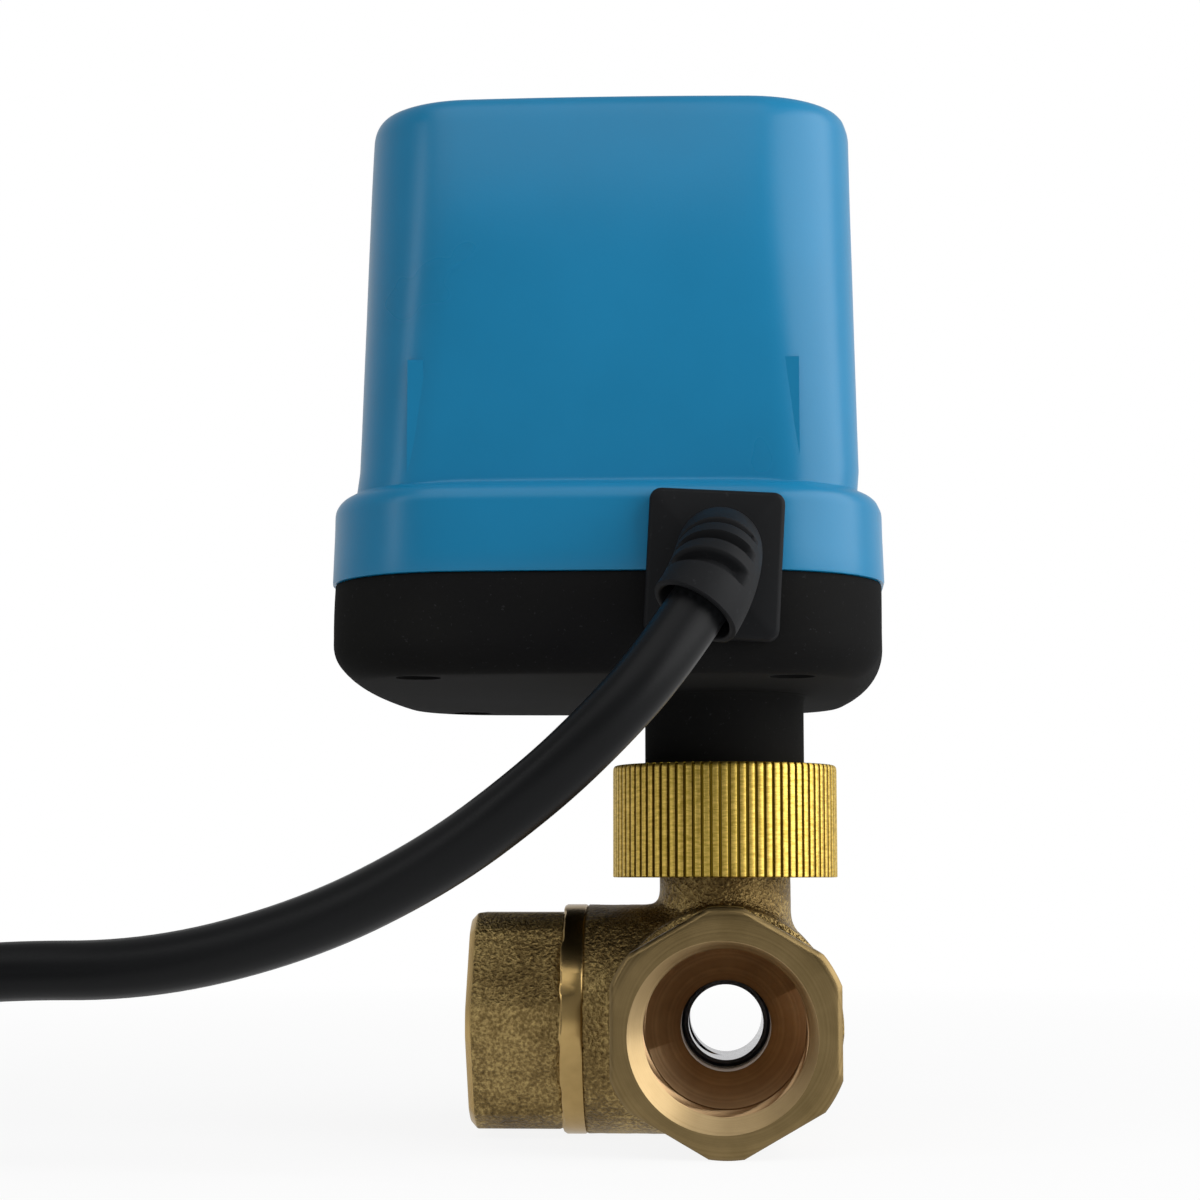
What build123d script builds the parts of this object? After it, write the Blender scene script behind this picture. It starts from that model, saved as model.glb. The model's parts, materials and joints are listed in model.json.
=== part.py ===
from build123d import *
from math import acos, cos, pi, radians, sin, sqrt, tan
import os

os.makedirs("parts", exist_ok=True)

# Driving dimensions in millimetres. The floor is z = 0, the front is -Y and the
# origin lies under the middle of the actuator.

# Valve: half-inch pipe ports round one ball
stem_x = 13.5
port_z = 14.0
port_half = 31.0
hexagon_flats = 26.0
turned_r = 14.0
hexagon_start = 19.7
ring_start = 16.9
run_barrel_r = 13.7
side_barrel_r = 13.95
port_edge = 0.8
thread_r = 9.315
mouth_r = 10.6
thread_length = 12.0
shoulder_depth = 15.0
waterway_r = 5.3
ball_r = 9.3
ball_bore_r = 4.5
ball_gap = 0.3
chamber_r = 9.9
seat_r = 6.75
seat_back = 10.5
connector_face = 19.0
spigot_back = 7.4
seal_groove_start = 15.8
seal_groove_width = 1.8
seal_depth = 0.9
seal_width = 1.6
seat_face = 6.0
running_gap = 0.05

# Stem and neck
stem_r = 4.0
stem_square = 5.6
stem_top = 50.0
blowout_r = 5.0
blowout_top = 25.3
blowout_gap = 0.2
tang_thickness = 3.0
tang_floor = 21.0
ring_groove_r = 3.2
ring_groove_width = 0.9
stem_chamfer = 0.5
ring_heights = (29.5, 34.0)
brass_neck_r = 8.1
neck_fillet = 2.0
collar_r = 11.0
collar_low = 33.6
collar_top = 39.8
tenon_side = 12.0
tenon_height = 2.0
tenon_gap = 0.2
neck_fillet_z = 26.0

# Union nut
nut_r = 13.9
nut_root_r = 13.42
nut_ridges = 80
ridge_flank = 0.22
ridge_land = 0.5
nut_low = 31.3
nut_top = 45.1
nut_bore_r = 11.35
nut_lip_low = 43.2
nut_edge = 0.45
retainer_low = 41.4
retainer_top = 43.1
retainer_groove_r = 9.1
retainer_split = 3.0

# Actuator casing
base_low = 54.6
seam_z = 65.8
shoulder_z = 75.3
cover_top = 121.2
casing_half_x = 32.25
casing_half_y = 40.0
casing_corner = 16.0
casing_bow = 1.0
lip = 0.25
wall = 2.4
floor_thickness = 2.5
base_edge = 3.5
shoulder_edge = 2.6
top_edge = 4.0
actuator_neck_r = 9.9
socket_r = 6.0
boss_x = 21.2
boss_y = 31.2
boss_r = 3.7
boss_top = 90.0
screw_r = 1.5
screw_head_r = 2.4
screw_pocket_r = 2.6
screw_head_low = 56.4
screw_head_height = 2.4
screw_top = 82.0
screw_cross = (3.2, 0.7, 1.2)
boss_rib = 0.9
boss_rib_reach = 5.0
seam_seal_outer = 0.7
seam_seal_inner = 1.7
seam_seal_depth = 1.0

# Height, half width, half depth and corner radius of the cover's upper sections
cover_sections = (
    (72.6, 29.65, 37.40, 7.5),
    (92.0, 29.30, 36.95, 9.6),
    (108.0, 29.05, 35.90, 11.6),
    (cover_top, 28.70, 32.60, 13.0),
)

# Gear train: every stage has the same two tooth counts
pinion_teeth = 12
wheel_teeth = 36
output_module = 0.7
motor_module = 0.5
idler_bearing = 150.0
motor_bearing = 250.0
tooth_play = 0.22
pressure_angle = 20.0
gear_low = 68.5
gear_top = 74.5
idler_low = 75.0
idler_top = 79.0
pinion_top = 79.6
motor_shaft_length = 6.0
pin_r = 1.5

# Gear plates and what they carry
plate_x = 50.0
plate_y = 54.0
plate_corner = 3.0
plate_thickness = 1.5
lower_plate_z = 66.0
upper_plate_z = 80.5
pillar_x = 21.5
pillar_y = 23.0
pillar_r = 2.5
pillar_screw_r = 1.2
standoff_flats = 4.8
cam_low = 59.5
cam_top = 63.5
cam_r = 7.4
lobe_r = 9.0
lobe_angles = (165.0, 30.0)
socket_top = 58.6
plunger_reach = 9.3
plunger_r = 1.2
plunger_length = 4.6
plunger_stroke = 0.8
switch_gap = 1.4
switch_length = 20.0
switch_depth = 10.0
switch_rim = 1.2
switch_screw_r = 1.1
switch_screw_half = 6.5
switch_head_r = 2.2
motor_r = 20.0
motor_height = 17.5
motor_ear = (54.0, 7.0, 1.0)
motor_ear_hole_r = 1.6
motor_edge = 1.2
board_z = 104.0
board_thickness = 1.6
board_size = (49.0, 58.0, 5.0)
relay_corners = ((-19.0, 0.0), (-3.5, 19.0))
relay_height = 9.5
terminal_corners = ((-9.0, -25.0), (16.0, -16.0))
terminal_height = 8.5
terminal_ways = 5
terminal_pitch = 5.0
capacitor_sizes = ((8.0, 14.0, 5.0, 9.5), (17.0, 3.0, 3.2, 8.0))

# Gland and cable
gland_x = 12.5
gland_z = 65.4
gland_width = 14.9
gland_height = 16.3
gland_roll = 3.0
flange_front = 42.0
flange_thickness = 3.5
flange_corner = 1.2
slot_half = 5.0
slot_low = 4.1
slot_high = 4.9
slot_back = 34.0
plug_back = 35.0
groove_web = 2.0
groove_thickness = 1.7
boot_start = (13.1, -42.0, 66.9)
boot_root_r = 4.9
boot_tip_r = 4.2
boot_ribs = 4
rib_rise = 0.75
cable_d = 6.5
cable_route = (
    (10.5, -54.5, 58.8),
    (7.0, -57.0, 53.3),
    (1.6, -58.6, 47.0),
    (-5.6, -58.2, 40.2),
    (-16.5, -54.6, 32.4),
    (-31.0, -49.0, 25.6),
    (-48.5, -44.2, 21.3),
    (-66.5, -41.4, 21.2),
    (-81.5, -42.4, 19.4),
    (-94.0, -43.6, 14.6),
    (-106.0, -44.0, 11.35),
    (-116.5, -44.0, 11.35),
)
coil_centre_x = -123.0
coil_centre_y = -84.0
coil_inner_r = 26.0
coil_pitch = 7.0
coil_turns = 4
tie_thickness = 0.9
tie_gap = 0.2
tie_width = 3.6
tie_angles = (100.0, 260.0)
core_r = 0.9
core_length = 22.0
core_ring_r = 1.5
core_straight = 6.0
core_splay = 1.8

# Values worked out from the ones above
stem_axis = (stem_x, 0.0)
ball_centre = (stem_x, 0.0, port_z)
output_distance = output_module * (pinion_teeth + wheel_teeth) / 2
motor_distance = motor_module * (pinion_teeth + wheel_teeth) / 2
idler_at = (
    stem_x + output_distance * cos(radians(idler_bearing)),
    output_distance * sin(radians(idler_bearing)),
)
motor_at = (
    idler_at[0] + motor_distance * cos(radians(motor_bearing)),
    idler_at[1] + motor_distance * sin(radians(motor_bearing)),
)
screw_head_top = screw_head_low + screw_head_height
cross_length, cross_width, cross_depth = screw_cross
ear_length, ear_width, ear_thickness = motor_ear
ear_hole_y = (ear_length - ear_width) / 2
coil_low_z = tie_thickness + tie_gap + cable_d / 2
coil_middle = coil_turns * pi

front_port = Plane(origin=(stem_x, 0, port_z), x_dir=(0, 0, 1), z_dir=(0, -1, 0))
rear_port = Plane(origin=(stem_x, 0, port_z), x_dir=(0, 0, 1), z_dir=(0, 1, 0))
side_port = Plane(origin=(stem_x, 0, port_z), x_dir=(0, 1, 0), z_dir=(-1, 0, 0))


def save(piece, name):
    # Names a finished piece and writes it to its own file
    piece.label = name
    export_step(piece, f"parts/{name}.step")


def turned_hexagon(port, start):
    # Hexagon end of a port: flats milled on a turned bar, its mouth edge broken
    with BuildPart() as end:
        with BuildSketch(port.offset(start)):
            RegularPolygon(hexagon_flats / 2, 6, major_radius=False)
            Circle(turned_r, mode=Mode.INTERSECT)
        extrude(amount=port_half - start)
        rim = end.faces().sort_by(Axis(port.origin, port.z_dir))[-1]
        chamfer(rim.edges(), port_edge)
    return end.part


def port_bore(port, seat_start):
    # Water's way into a port, from the ball's seat out to the thread's mouth
    with BuildPart() as bore:
        with BuildSketch(Plane(origin=port.origin, x_dir=port.z_dir, z_dir=port.x_dir)):
            with BuildLine():
                Polyline(
                    (seat_start, 0),
                    (seat_start, seat_r),
                    (seat_back, seat_r),
                    (seat_back, waterway_r),
                    (port_half - shoulder_depth, waterway_r),
                    (port_half - thread_length, thread_r),
                    (port_half - (mouth_r - thread_r), thread_r),
                    (port_half, mouth_r),
                    (port_half, 0),
                    close=True,
                )
            make_face()
        revolve(axis=Axis(port.origin, port.z_dir))
    return bore.part


def bowed_outline(half_x, half_y, corner, bow=casing_bow):
    # Closed outline with four gently bowed sides and round corners
    with BuildLine() as outline:
        ThreePointArc((-half_x + bow, -half_y + bow), (0, -half_y), (half_x - bow, -half_y + bow))
        ThreePointArc((half_x - bow, -half_y + bow), (half_x, 0), (half_x - bow, half_y - bow))
        ThreePointArc((half_x - bow, half_y - bow), (0, half_y), (-half_x + bow, half_y - bow))
        ThreePointArc((-half_x + bow, half_y - bow), (-half_x, 0), (-half_x + bow, -half_y + bow))
    with BuildSketch() as section:
        add(outline.line)
        make_face()
        fillet(section.vertices(), corner)
    return section.sketch


def casing_section(inset):
    # Outline of the collar and base, drawn in by a wall or a lip
    return bowed_outline(casing_half_x - inset, casing_half_y - inset, casing_corner - inset)


def involute(angle):
    return tan(angle) - angle


def gear_outline(teeth, module, phase):
    # Corner points of a spur gear whose first tooth points along the phase angle
    pitch_r = teeth * module / 2
    base_r = pitch_r * cos(radians(pressure_angle))
    root_r = pitch_r - 1.2 * module
    tip_r = pitch_r + 0.8 * module
    pitch_half = (pi * module / 2 - tooth_play) / (2 * pitch_r)

    def half_angle(radius):
        pressure = acos(min(1.0, base_r / radius))
        return pitch_half + involute(radians(pressure_angle)) - involute(pressure)

    foot_r = max(base_r, root_r)
    flank = [(root_r, half_angle(foot_r)), (pitch_r, half_angle(pitch_r)), (tip_r, half_angle(tip_r))]
    if base_r > root_r:
        flank.insert(1, (base_r, half_angle(base_r)))
    points = []
    for tooth in range(teeth):
        middle = radians(phase) + 2 * pi * tooth / teeth
        for radius, half in flank:
            points.append((radius * cos(middle - half), radius * sin(middle - half)))
        for radius, half in reversed(flank):
            points.append((radius * cos(middle + half), radius * sin(middle + half)))
    return points


def spur_gear(centre, teeth, module, phase, low, high):
    # Solid spur gear between two heights
    with BuildPart() as gear:
        with BuildSketch(Plane(origin=(centre[0], centre[1], low))):
            with BuildLine():
                Polyline(*gear_outline(teeth, module, phase), close=True)
            make_face()
        extrude(amount=high - low)
    return gear.part


def upright(centre, radius, low, high):
    # Round bar standing between two heights
    with BuildPart() as bar:
        with BuildSketch(Plane(origin=(centre[0], centre[1], low))):
            Circle(radius)
        extrude(amount=high - low)
    return bar.part


def block(low_corner, high_corner):
    # Square block between two corners
    size = [high - low for low, high in zip(low_corner, high_corner)]
    with BuildPart() as piece:
        with BuildSketch(Plane(origin=low_corner)):
            Rectangle(size[0], size[1], align=(Align.MIN, Align.MIN))
        extrude(amount=size[2])
    return piece.part


# Valve body: one casting with a run, a side branch, a neck and a threaded collar
side_hexagon = turned_hexagon(side_port, hexagon_start)
rear_hexagon = turned_hexagon(rear_port, hexagon_start)
rear_bore = port_bore(rear_port, ball_r / 2)
side_bore = port_bore(side_port, ball_r / 2)

with BuildPart() as valve_body:
    with BuildSketch(front_port.offset(-hexagon_start)):
        Circle(run_barrel_r)
    extrude(amount=hexagon_start + connector_face)
    with BuildSketch(side_port):
        Circle(side_barrel_r)
    extrude(amount=hexagon_start)
    with BuildSketch(Plane(origin=ball_centre)):
        Circle(brass_neck_r)
    extrude(amount=collar_top - port_z)
    neck_edges = valve_body.edges().filter_by(
        lambda edge: abs(edge.center().Z - neck_fillet_z) < 3
        and abs((edge @ 0 - Vector(stem_x, 0, (edge @ 0).Z)).length - brass_neck_r) < 0.01
    )
    fillet(neck_edges, neck_fillet)
    for port in (side_port, rear_port):
        with BuildSketch(port.offset(ring_start)):
            Circle(turned_r)
        extrude(amount=hexagon_start - ring_start)
    add(side_hexagon)
    add(rear_hexagon)
    with BuildSketch(Plane(origin=(stem_x, 0, collar_low))):
        Circle(collar_r)
    extrude(amount=collar_top - collar_low)
    with BuildSketch(Plane(origin=(stem_x, 0, collar_top))):
        Rectangle(tenon_side, tenon_side)
    extrude(amount=tenon_height)
    with Locations(ball_centre):
        Sphere(chamber_r, mode=Mode.SUBTRACT)
    with BuildSketch(front_port):
        Circle(chamber_r)
    extrude(amount=connector_face, mode=Mode.SUBTRACT)
    add(rear_bore, mode=Mode.SUBTRACT)
    add(side_bore, mode=Mode.SUBTRACT)
    with BuildSketch(Plane(origin=ball_centre)):
        Circle(blowout_r + blowout_gap)
    extrude(amount=blowout_top + blowout_gap - port_z, mode=Mode.SUBTRACT)
    with BuildSketch(Plane(origin=ball_centre)):
        Circle(stem_r + running_gap)
    extrude(amount=collar_top + tenon_height - port_z, mode=Mode.SUBTRACT)
save(valve_body.part, "valve_body")

# End connector: hexagon insert whose spigot closes the ball's chamber
connector_hexagon = turned_hexagon(front_port, connector_face)

with BuildPart() as end_connector:
    add(connector_hexagon)
    with BuildSketch(front_port.offset(spigot_back)):
        Circle(chamber_r)
    extrude(amount=connector_face - spigot_back)
    with BuildSketch(front_port.offset(seal_groove_start)):
        Circle(chamber_r)
        Circle(chamber_r - seal_depth, mode=Mode.SUBTRACT)
    extrude(amount=seal_groove_width, mode=Mode.SUBTRACT)
    add(port_bore(front_port, spigot_back), mode=Mode.SUBTRACT)
save(end_connector.part, "end_connector")

with BuildPart() as connector_seal:
    with BuildSketch(front_port.offset(seal_groove_start + (seal_groove_width - seal_width) / 2)):
        Circle(chamber_r)
        Circle(chamber_r - seal_depth, mode=Mode.SUBTRACT)
    extrude(amount=seal_width)
save(connector_seal.part, "connector_seal")


def ball_seat(port):
    # Seat ring with a hollow face that follows the ball
    with BuildPart() as seat:
        with BuildSketch(port.offset(seat_face)):
            Circle(seat_r)
            Circle(waterway_r, mode=Mode.SUBTRACT)
        extrude(amount=seat_back - seat_face)
        with Locations(ball_centre):
            Sphere(ball_r + ball_gap, mode=Mode.SUBTRACT)
    return seat.part


for port, name in ((front_port, "seat_front"), (rear_port, "seat_rear"), (side_port, "seat_side")):
    save(ball_seat(port), name)

# Ball with a straight bore, a branch to the side and a slot for the stem
with BuildPart() as ball:
    with Locations(ball_centre):
        Sphere(ball_r)
    with BuildSketch(front_port.offset(-ball_r)):
        Circle(ball_bore_r)
    extrude(amount=2 * ball_r, mode=Mode.SUBTRACT)
    with BuildSketch(side_port):
        Circle(ball_bore_r)
    extrude(amount=ball_r, mode=Mode.SUBTRACT)
    with BuildSketch(Plane(origin=(stem_x, 0, tang_floor))):
        Rectangle(2 * ball_r, tang_thickness)
    extrude(amount=ball_r, mode=Mode.SUBTRACT)
save(ball.part, "ball")

# Stem: tang, blow-out collar, two ring grooves and a square top
with BuildPart() as stem:
    with BuildSketch(Plane(origin=(stem_x, 0, tang_floor))):
        Rectangle(2 * stem_r, tang_thickness)
    extrude(amount=ball_r + port_z + ball_gap - tang_floor)
    add(upright(stem_axis, blowout_r, ball_r + port_z + ball_gap, blowout_top))
    add(upright(stem_axis, stem_r, blowout_top, collar_top))
    for height in ring_heights:
        with BuildSketch(Plane(origin=(stem_x, 0, height - ring_groove_width / 2))):
            Circle(stem_r)
            Circle(ring_groove_r, mode=Mode.SUBTRACT)
        extrude(amount=ring_groove_width, mode=Mode.SUBTRACT)
    with BuildSketch(Plane(origin=(stem_x, 0, collar_top))):
        Rectangle(stem_square, stem_square)
    extrude(amount=stem_top - collar_top)
    chamfer(stem.faces().sort_by(Axis.Z)[-1].edges(), stem_chamfer)
save(stem.part, "stem")

ring_section = (stem_r - ring_groove_r) / 2
with BuildPart() as stem_o_rings:
    for height in ring_heights:
        with Locations((stem_x, 0, height)):
            Torus(stem_r - ring_section, ring_section)
save(stem_o_rings.part, "stem_o_rings")

# Union nut: straight knurls outside, a lip above the retaining ring inside
knurl_points = []
for ridge in range(nut_ridges):
    for share, radius in ((0.0, nut_root_r), (ridge_flank, nut_r), (ridge_land, nut_r)):
        angle = 2 * pi * (ridge + share) / nut_ridges
        knurl_points.append((radius * cos(angle), radius * sin(angle)))

with BuildPart() as nut_envelope:
    with BuildSketch(Plane(origin=(stem_x, 0, 0), x_dir=(1, 0, 0), z_dir=(0, -1, 0))):
        with BuildLine():
            Polyline(
                (nut_bore_r, nut_low),
                (nut_r - nut_edge, nut_low),
                (nut_r + running_gap, nut_low + nut_edge),
                (nut_r + running_gap, nut_top - nut_edge),
                (nut_r - nut_edge, nut_top),
                (actuator_neck_r + running_gap, nut_top),
                (actuator_neck_r + running_gap, nut_lip_low),
                (nut_bore_r, nut_lip_low),
                close=True,
            )
        make_face()
    revolve(axis=Axis((stem_x, 0, 0), (0, 0, 1)))

with BuildPart() as union_nut:
    with BuildSketch(Plane(origin=(stem_x, 0, nut_low))):
        with BuildLine():
            Polyline(*knurl_points, close=True)
        make_face()
    extrude(amount=nut_top - nut_low)
    add(nut_envelope.part, mode=Mode.INTERSECT)
save(union_nut.part, "union_nut")

# Actuator base: tray with a neck, screw pockets and posts for the gear plates
gland_slot = block(
    (gland_x - slot_half, -flange_front, gland_z - slot_low),
    (gland_x + slot_half, -slot_back, gland_z + slot_high),
)
boss_spots = [(x, y) for x in (-boss_x, boss_x) for y in (-boss_y, boss_y)]
pillar_spots = [(x, y) for x in (-pillar_x, pillar_x) for y in (-pillar_y, pillar_y)]
base_outline = casing_section(lip)
base_cavity = casing_section(lip + wall)
seal_outer = casing_section(lip + seam_seal_outer)
seal_inner = casing_section(lip + seam_seal_inner)

with BuildPart() as base:
    with BuildSketch(Plane.XY.offset(base_low)):
        add(base_outline)
    extrude(amount=seam_z - base_low)
    fillet(base.faces().sort_by(Axis.Z)[0].edges(), base_edge)
    with BuildSketch(Plane.XY.offset(base_low + floor_thickness)):
        add(base_cavity)
    extrude(amount=seam_z - base_low, mode=Mode.SUBTRACT)
    for spot in boss_spots:
        add(upright(spot, boss_r, base_low + floor_thickness, seam_z))
    for spot in pillar_spots:
        add(upright(spot, pillar_r, base_low + floor_thickness, lower_plate_z))
    with BuildSketch(Plane(origin=(stem_x, 0, collar_top))):
        Circle(actuator_neck_r)
    extrude(amount=base_low + floor_thickness - collar_top)
    with BuildSketch(Plane(origin=(stem_x, 0, retainer_low))):
        Circle(actuator_neck_r)
        Circle(retainer_groove_r, mode=Mode.SUBTRACT)
    extrude(amount=retainer_top - retainer_low, mode=Mode.SUBTRACT)
    with BuildSketch(Plane(origin=(stem_x, 0, collar_top))):
        Rectangle(tenon_side + 2 * tenon_gap, tenon_side + 2 * tenon_gap)
    extrude(amount=tenon_height + tenon_gap, mode=Mode.SUBTRACT)
    add(upright(stem_axis, socket_r + running_gap, collar_top, seam_z), mode=Mode.SUBTRACT)
    for spot in boss_spots:
        add(upright(spot, screw_pocket_r, base_low, screw_head_top), mode=Mode.SUBTRACT)
        add(upright(spot, screw_r + 2 * running_gap, base_low, seam_z), mode=Mode.SUBTRACT)
    with BuildSketch(Plane.XY.offset(seam_z - seam_seal_depth)):
        add(seal_outer)
        add(seal_inner, mode=Mode.SUBTRACT)
    extrude(amount=seam_seal_depth, mode=Mode.SUBTRACT)
    add(gland_slot, mode=Mode.SUBTRACT)
save(base.part, "base")

with BuildPart() as cover_seal:
    with BuildSketch(Plane.XY.offset(seam_z - seam_seal_depth)):
        add(seal_outer)
        add(seal_inner, mode=Mode.SUBTRACT)
    extrude(amount=seam_seal_depth)
    add(gland_slot, mode=Mode.SUBTRACT)
save(cover_seal.part, "cover_seal")


def cover_shape(inset, top):
    # Upper part of the cover, drafted, with corners that grow rounder with height
    with BuildPart() as shape:
        for height, half_x, half_y, corner in cover_sections:
            with BuildSketch(Plane.XY.offset(min(height, top))):
                add(bowed_outline(half_x - inset, half_y - inset, corner - inset / 2))
        loft()
    return shape.part


# Cover: collar over the base, stepped shoulder and a lofted upper part
with BuildPart() as cover_hollow:
    with BuildSketch(Plane.XY.offset(seam_z)):
        add(casing_section(wall))
    extrude(amount=shoulder_z - wall - seam_z)
    add(cover_shape(wall, cover_top - wall))

with BuildPart() as cover:
    with BuildSketch(Plane.XY.offset(seam_z)):
        add(casing_section(0))
    extrude(amount=shoulder_z - seam_z)
    fillet(cover.faces().sort_by(Axis.Z)[-1].edges(), shoulder_edge)
    add(cover_shape(0, cover_top))
    fillet(cover.faces().sort_by(Axis.Z)[-1].edges(), top_edge)
    add(cover_hollow.part, mode=Mode.SUBTRACT)
    for x, y in boss_spots:
        add(upright((x, y), boss_r, seam_z, boss_top))
        outer_y = y + boss_rib_reach * (1 if y > 0 else -1)
        add(block((x - boss_rib, min(y, outer_y), seam_z + 1), (x + boss_rib, max(y, outer_y), boss_top)))
        add(upright((x, y), screw_r, seam_z, screw_top), mode=Mode.SUBTRACT)
    add(gland_slot, mode=Mode.SUBTRACT)
save(cover.part, "cover")

with BuildPart() as cover_screws:
    for spot in boss_spots:
        add(upright(spot, screw_head_r, screw_head_low, screw_head_top))
        add(upright(spot, screw_r, screw_head_top, screw_top))
        with BuildSketch(Plane(origin=(spot[0], spot[1], screw_head_low))):
            Rectangle(cross_length, cross_width)
            Rectangle(cross_width, cross_length)
        extrude(amount=cross_depth, mode=Mode.SUBTRACT)
save(cover_screws.part, "cover_screws")

# Split ring that keeps the union nut on the actuator's neck
with BuildPart() as nut_retaining_ring:
    with BuildSketch(Plane(origin=(stem_x, 0, retainer_low))):
        Circle(collar_r)
        Circle(retainer_groove_r, mode=Mode.SUBTRACT)
        with Locations((0, collar_r)):
            Rectangle(retainer_split, 2 * retainer_split, mode=Mode.SUBTRACT)
    extrude(amount=retainer_top - retainer_low)
save(nut_retaining_ring.part, "nut_retaining_ring")


def gear_plate(height):
    # Steel plate with round corners that carries the gear train's bearings
    with BuildPart() as plate:
        with BuildSketch(Plane.XY.offset(height)):
            RectangleRounded(plate_x, plate_y, plate_corner)
            with Locations(stem_axis):
                Circle(stem_r + running_gap, mode=Mode.SUBTRACT)
            with Locations(idler_at):
                Circle(pin_r, mode=Mode.SUBTRACT)
            with Locations(*pillar_spots):
                Circle(pillar_screw_r, mode=Mode.SUBTRACT)
        extrude(amount=plate_thickness)
    return plate.part


# Gear plates, the pillars between them and the idler's fixed pin
save(gear_plate(lower_plate_z), "lower_plate")
with BuildPart() as upper_plate:
    add(gear_plate(upper_plate_z))
    add(upright(motor_at, 2.6, upper_plate_z, upper_plate_z + plate_thickness), mode=Mode.SUBTRACT)
save(upper_plate.part, "upper_plate")

upper_face = upper_plate_z + plate_thickness
with BuildPart() as pillars:
    for spot in pillar_spots:
        add(upright(spot, pillar_r, lower_plate_z + plate_thickness, upper_plate_z))
save(pillars.part, "pillars")

with BuildPart() as board_standoffs:
    for x, y in pillar_spots:
        with BuildSketch(Plane(origin=(x, y, upper_face))):
            RegularPolygon(standoff_flats / 2, 6, major_radius=False)
        extrude(amount=board_z - upper_face)
save(board_standoffs.part, "board_standoffs")

save(upright(idler_at, pin_r, lower_plate_z, upper_face), "idler_pin")

# Output shaft: square socket for the valve's stem, journals in both plates
with BuildPart() as output_shaft:
    add(upright(stem_axis, socket_r, collar_top + tenon_height + 2 * tenon_gap, socket_top))
    add(upright(stem_axis, stem_r, socket_top, upper_face))
    with BuildSketch(Plane(origin=(stem_x, 0, collar_top))):
        Rectangle(stem_square + tenon_gap, stem_square + tenon_gap)
    extrude(amount=stem_top + 2 * tenon_gap - collar_top, mode=Mode.SUBTRACT)
save(output_shaft.part, "output_shaft")

with BuildPart() as output_gear:
    add(spur_gear(stem_axis, wheel_teeth, output_module, idler_bearing, gear_low, gear_top))
    add(upright(stem_axis, stem_r, gear_low, gear_top), mode=Mode.SUBTRACT)
save(output_gear.part, "output_gear")

# Limit cam: a disc with one lobe that stands at the side switch at rest
with BuildPart() as limit_cam:
    with BuildSketch(Plane(origin=(stem_x, 0, cam_low))):
        Circle(cam_r)
        with BuildLine():
            lobe = CenterArc((0, 0), lobe_r, *lobe_angles)
            Line(lobe @ 0, (0, 0))
            Line(lobe @ 1, (0, 0))
        make_face()
        Circle(stem_r, mode=Mode.SUBTRACT)
    extrude(amount=cam_top - cam_low)
save(limit_cam.part, "limit_cam")

# Idler: a small wheel for the output gear under a large one for the motor
half_pitch = 180 / pinion_teeth
idler_phase = idler_bearing + 180 + half_pitch
motor_phase = motor_bearing - 180 + half_pitch
with BuildPart() as idler_gear:
    add(spur_gear(idler_at, pinion_teeth, output_module, idler_phase, gear_low, idler_low))
    add(spur_gear(idler_at, wheel_teeth, motor_module, motor_bearing, idler_low, idler_top))
    add(upright(idler_at, pin_r + running_gap, gear_low, idler_top), mode=Mode.SUBTRACT)
save(idler_gear.part, "idler_gear")

with BuildPart() as motor_pinion:
    add(spur_gear(motor_at, pinion_teeth, motor_module, motor_phase, idler_low, pinion_top))
    add(upright(motor_at, pin_r, pinion_top, upper_face + motor_shaft_length))
save(motor_pinion.part, "motor_pinion")

# Gear motor: stepped can with two ears
shaft_hole_top = upper_face + motor_shaft_length + 8 * running_gap
with BuildPart() as motor:
    add(upright(motor_at, motor_r, upper_face, upper_face + motor_height))
    chamfer(motor.faces().sort_by(Axis.Z)[-1].edges(), motor_edge)
    with BuildSketch(Plane(origin=(motor_at[0], motor_at[1], upper_face))):
        SlotOverall(ear_length, ear_width, rotation=90)
        with Locations((0, ear_hole_y), (0, -ear_hole_y)):
            Circle(motor_ear_hole_r, mode=Mode.SUBTRACT)
    extrude(amount=ear_thickness)
    add(upright(motor_at, pin_r + running_gap, upper_face, shaft_hole_top), mode=Mode.SUBTRACT)
save(motor.part, "motor")

# Limit switches: cases below the lower plate, plungers that face the cam
switch_low = cam_low - switch_rim
switch_high = cam_top + switch_rim
plunger_face = plunger_reach + switch_gap
switch_back = plunger_face + switch_depth
screw_line = plunger_face + 0.7 * switch_depth
side_middle_y = 0.0
front_middle_x = stem_x - 3.4
side_case = block(
    (stem_x - switch_back, side_middle_y - switch_length / 2, switch_low),
    (stem_x - plunger_face, side_middle_y + switch_length / 2, switch_high),
)
front_case = block(
    (front_middle_x - switch_length / 2, -switch_back, switch_low),
    (front_middle_x + switch_length / 2, -plunger_face, switch_high),
)
switch_screws = (
    (stem_x - screw_line, side_middle_y - switch_screw_half),
    (stem_x - screw_line, side_middle_y + switch_screw_half),
    (front_middle_x - switch_screw_half, -screw_line),
    (front_middle_x + switch_screw_half, -screw_line),
)
plunger_z = (switch_low + switch_high) / 2
side_plunger_axis = Plane(origin=(stem_x - plunger_reach, 0, plunger_z), x_dir=(0, 1, 0), z_dir=(-1, 0, 0))
front_plunger_axis = Plane(origin=(stem_x, -plunger_reach, plunger_z), x_dir=(1, 0, 0), z_dir=(0, -1, 0))


def plunger(axis_plane, play=0.0, stroke=0.0):
    # Round button that points at the cam, or the hole that it slides in
    with BuildPart() as button:
        with BuildSketch(axis_plane):
            Circle(plunger_r + play)
        extrude(amount=plunger_length + stroke)
    return button.part


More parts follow.
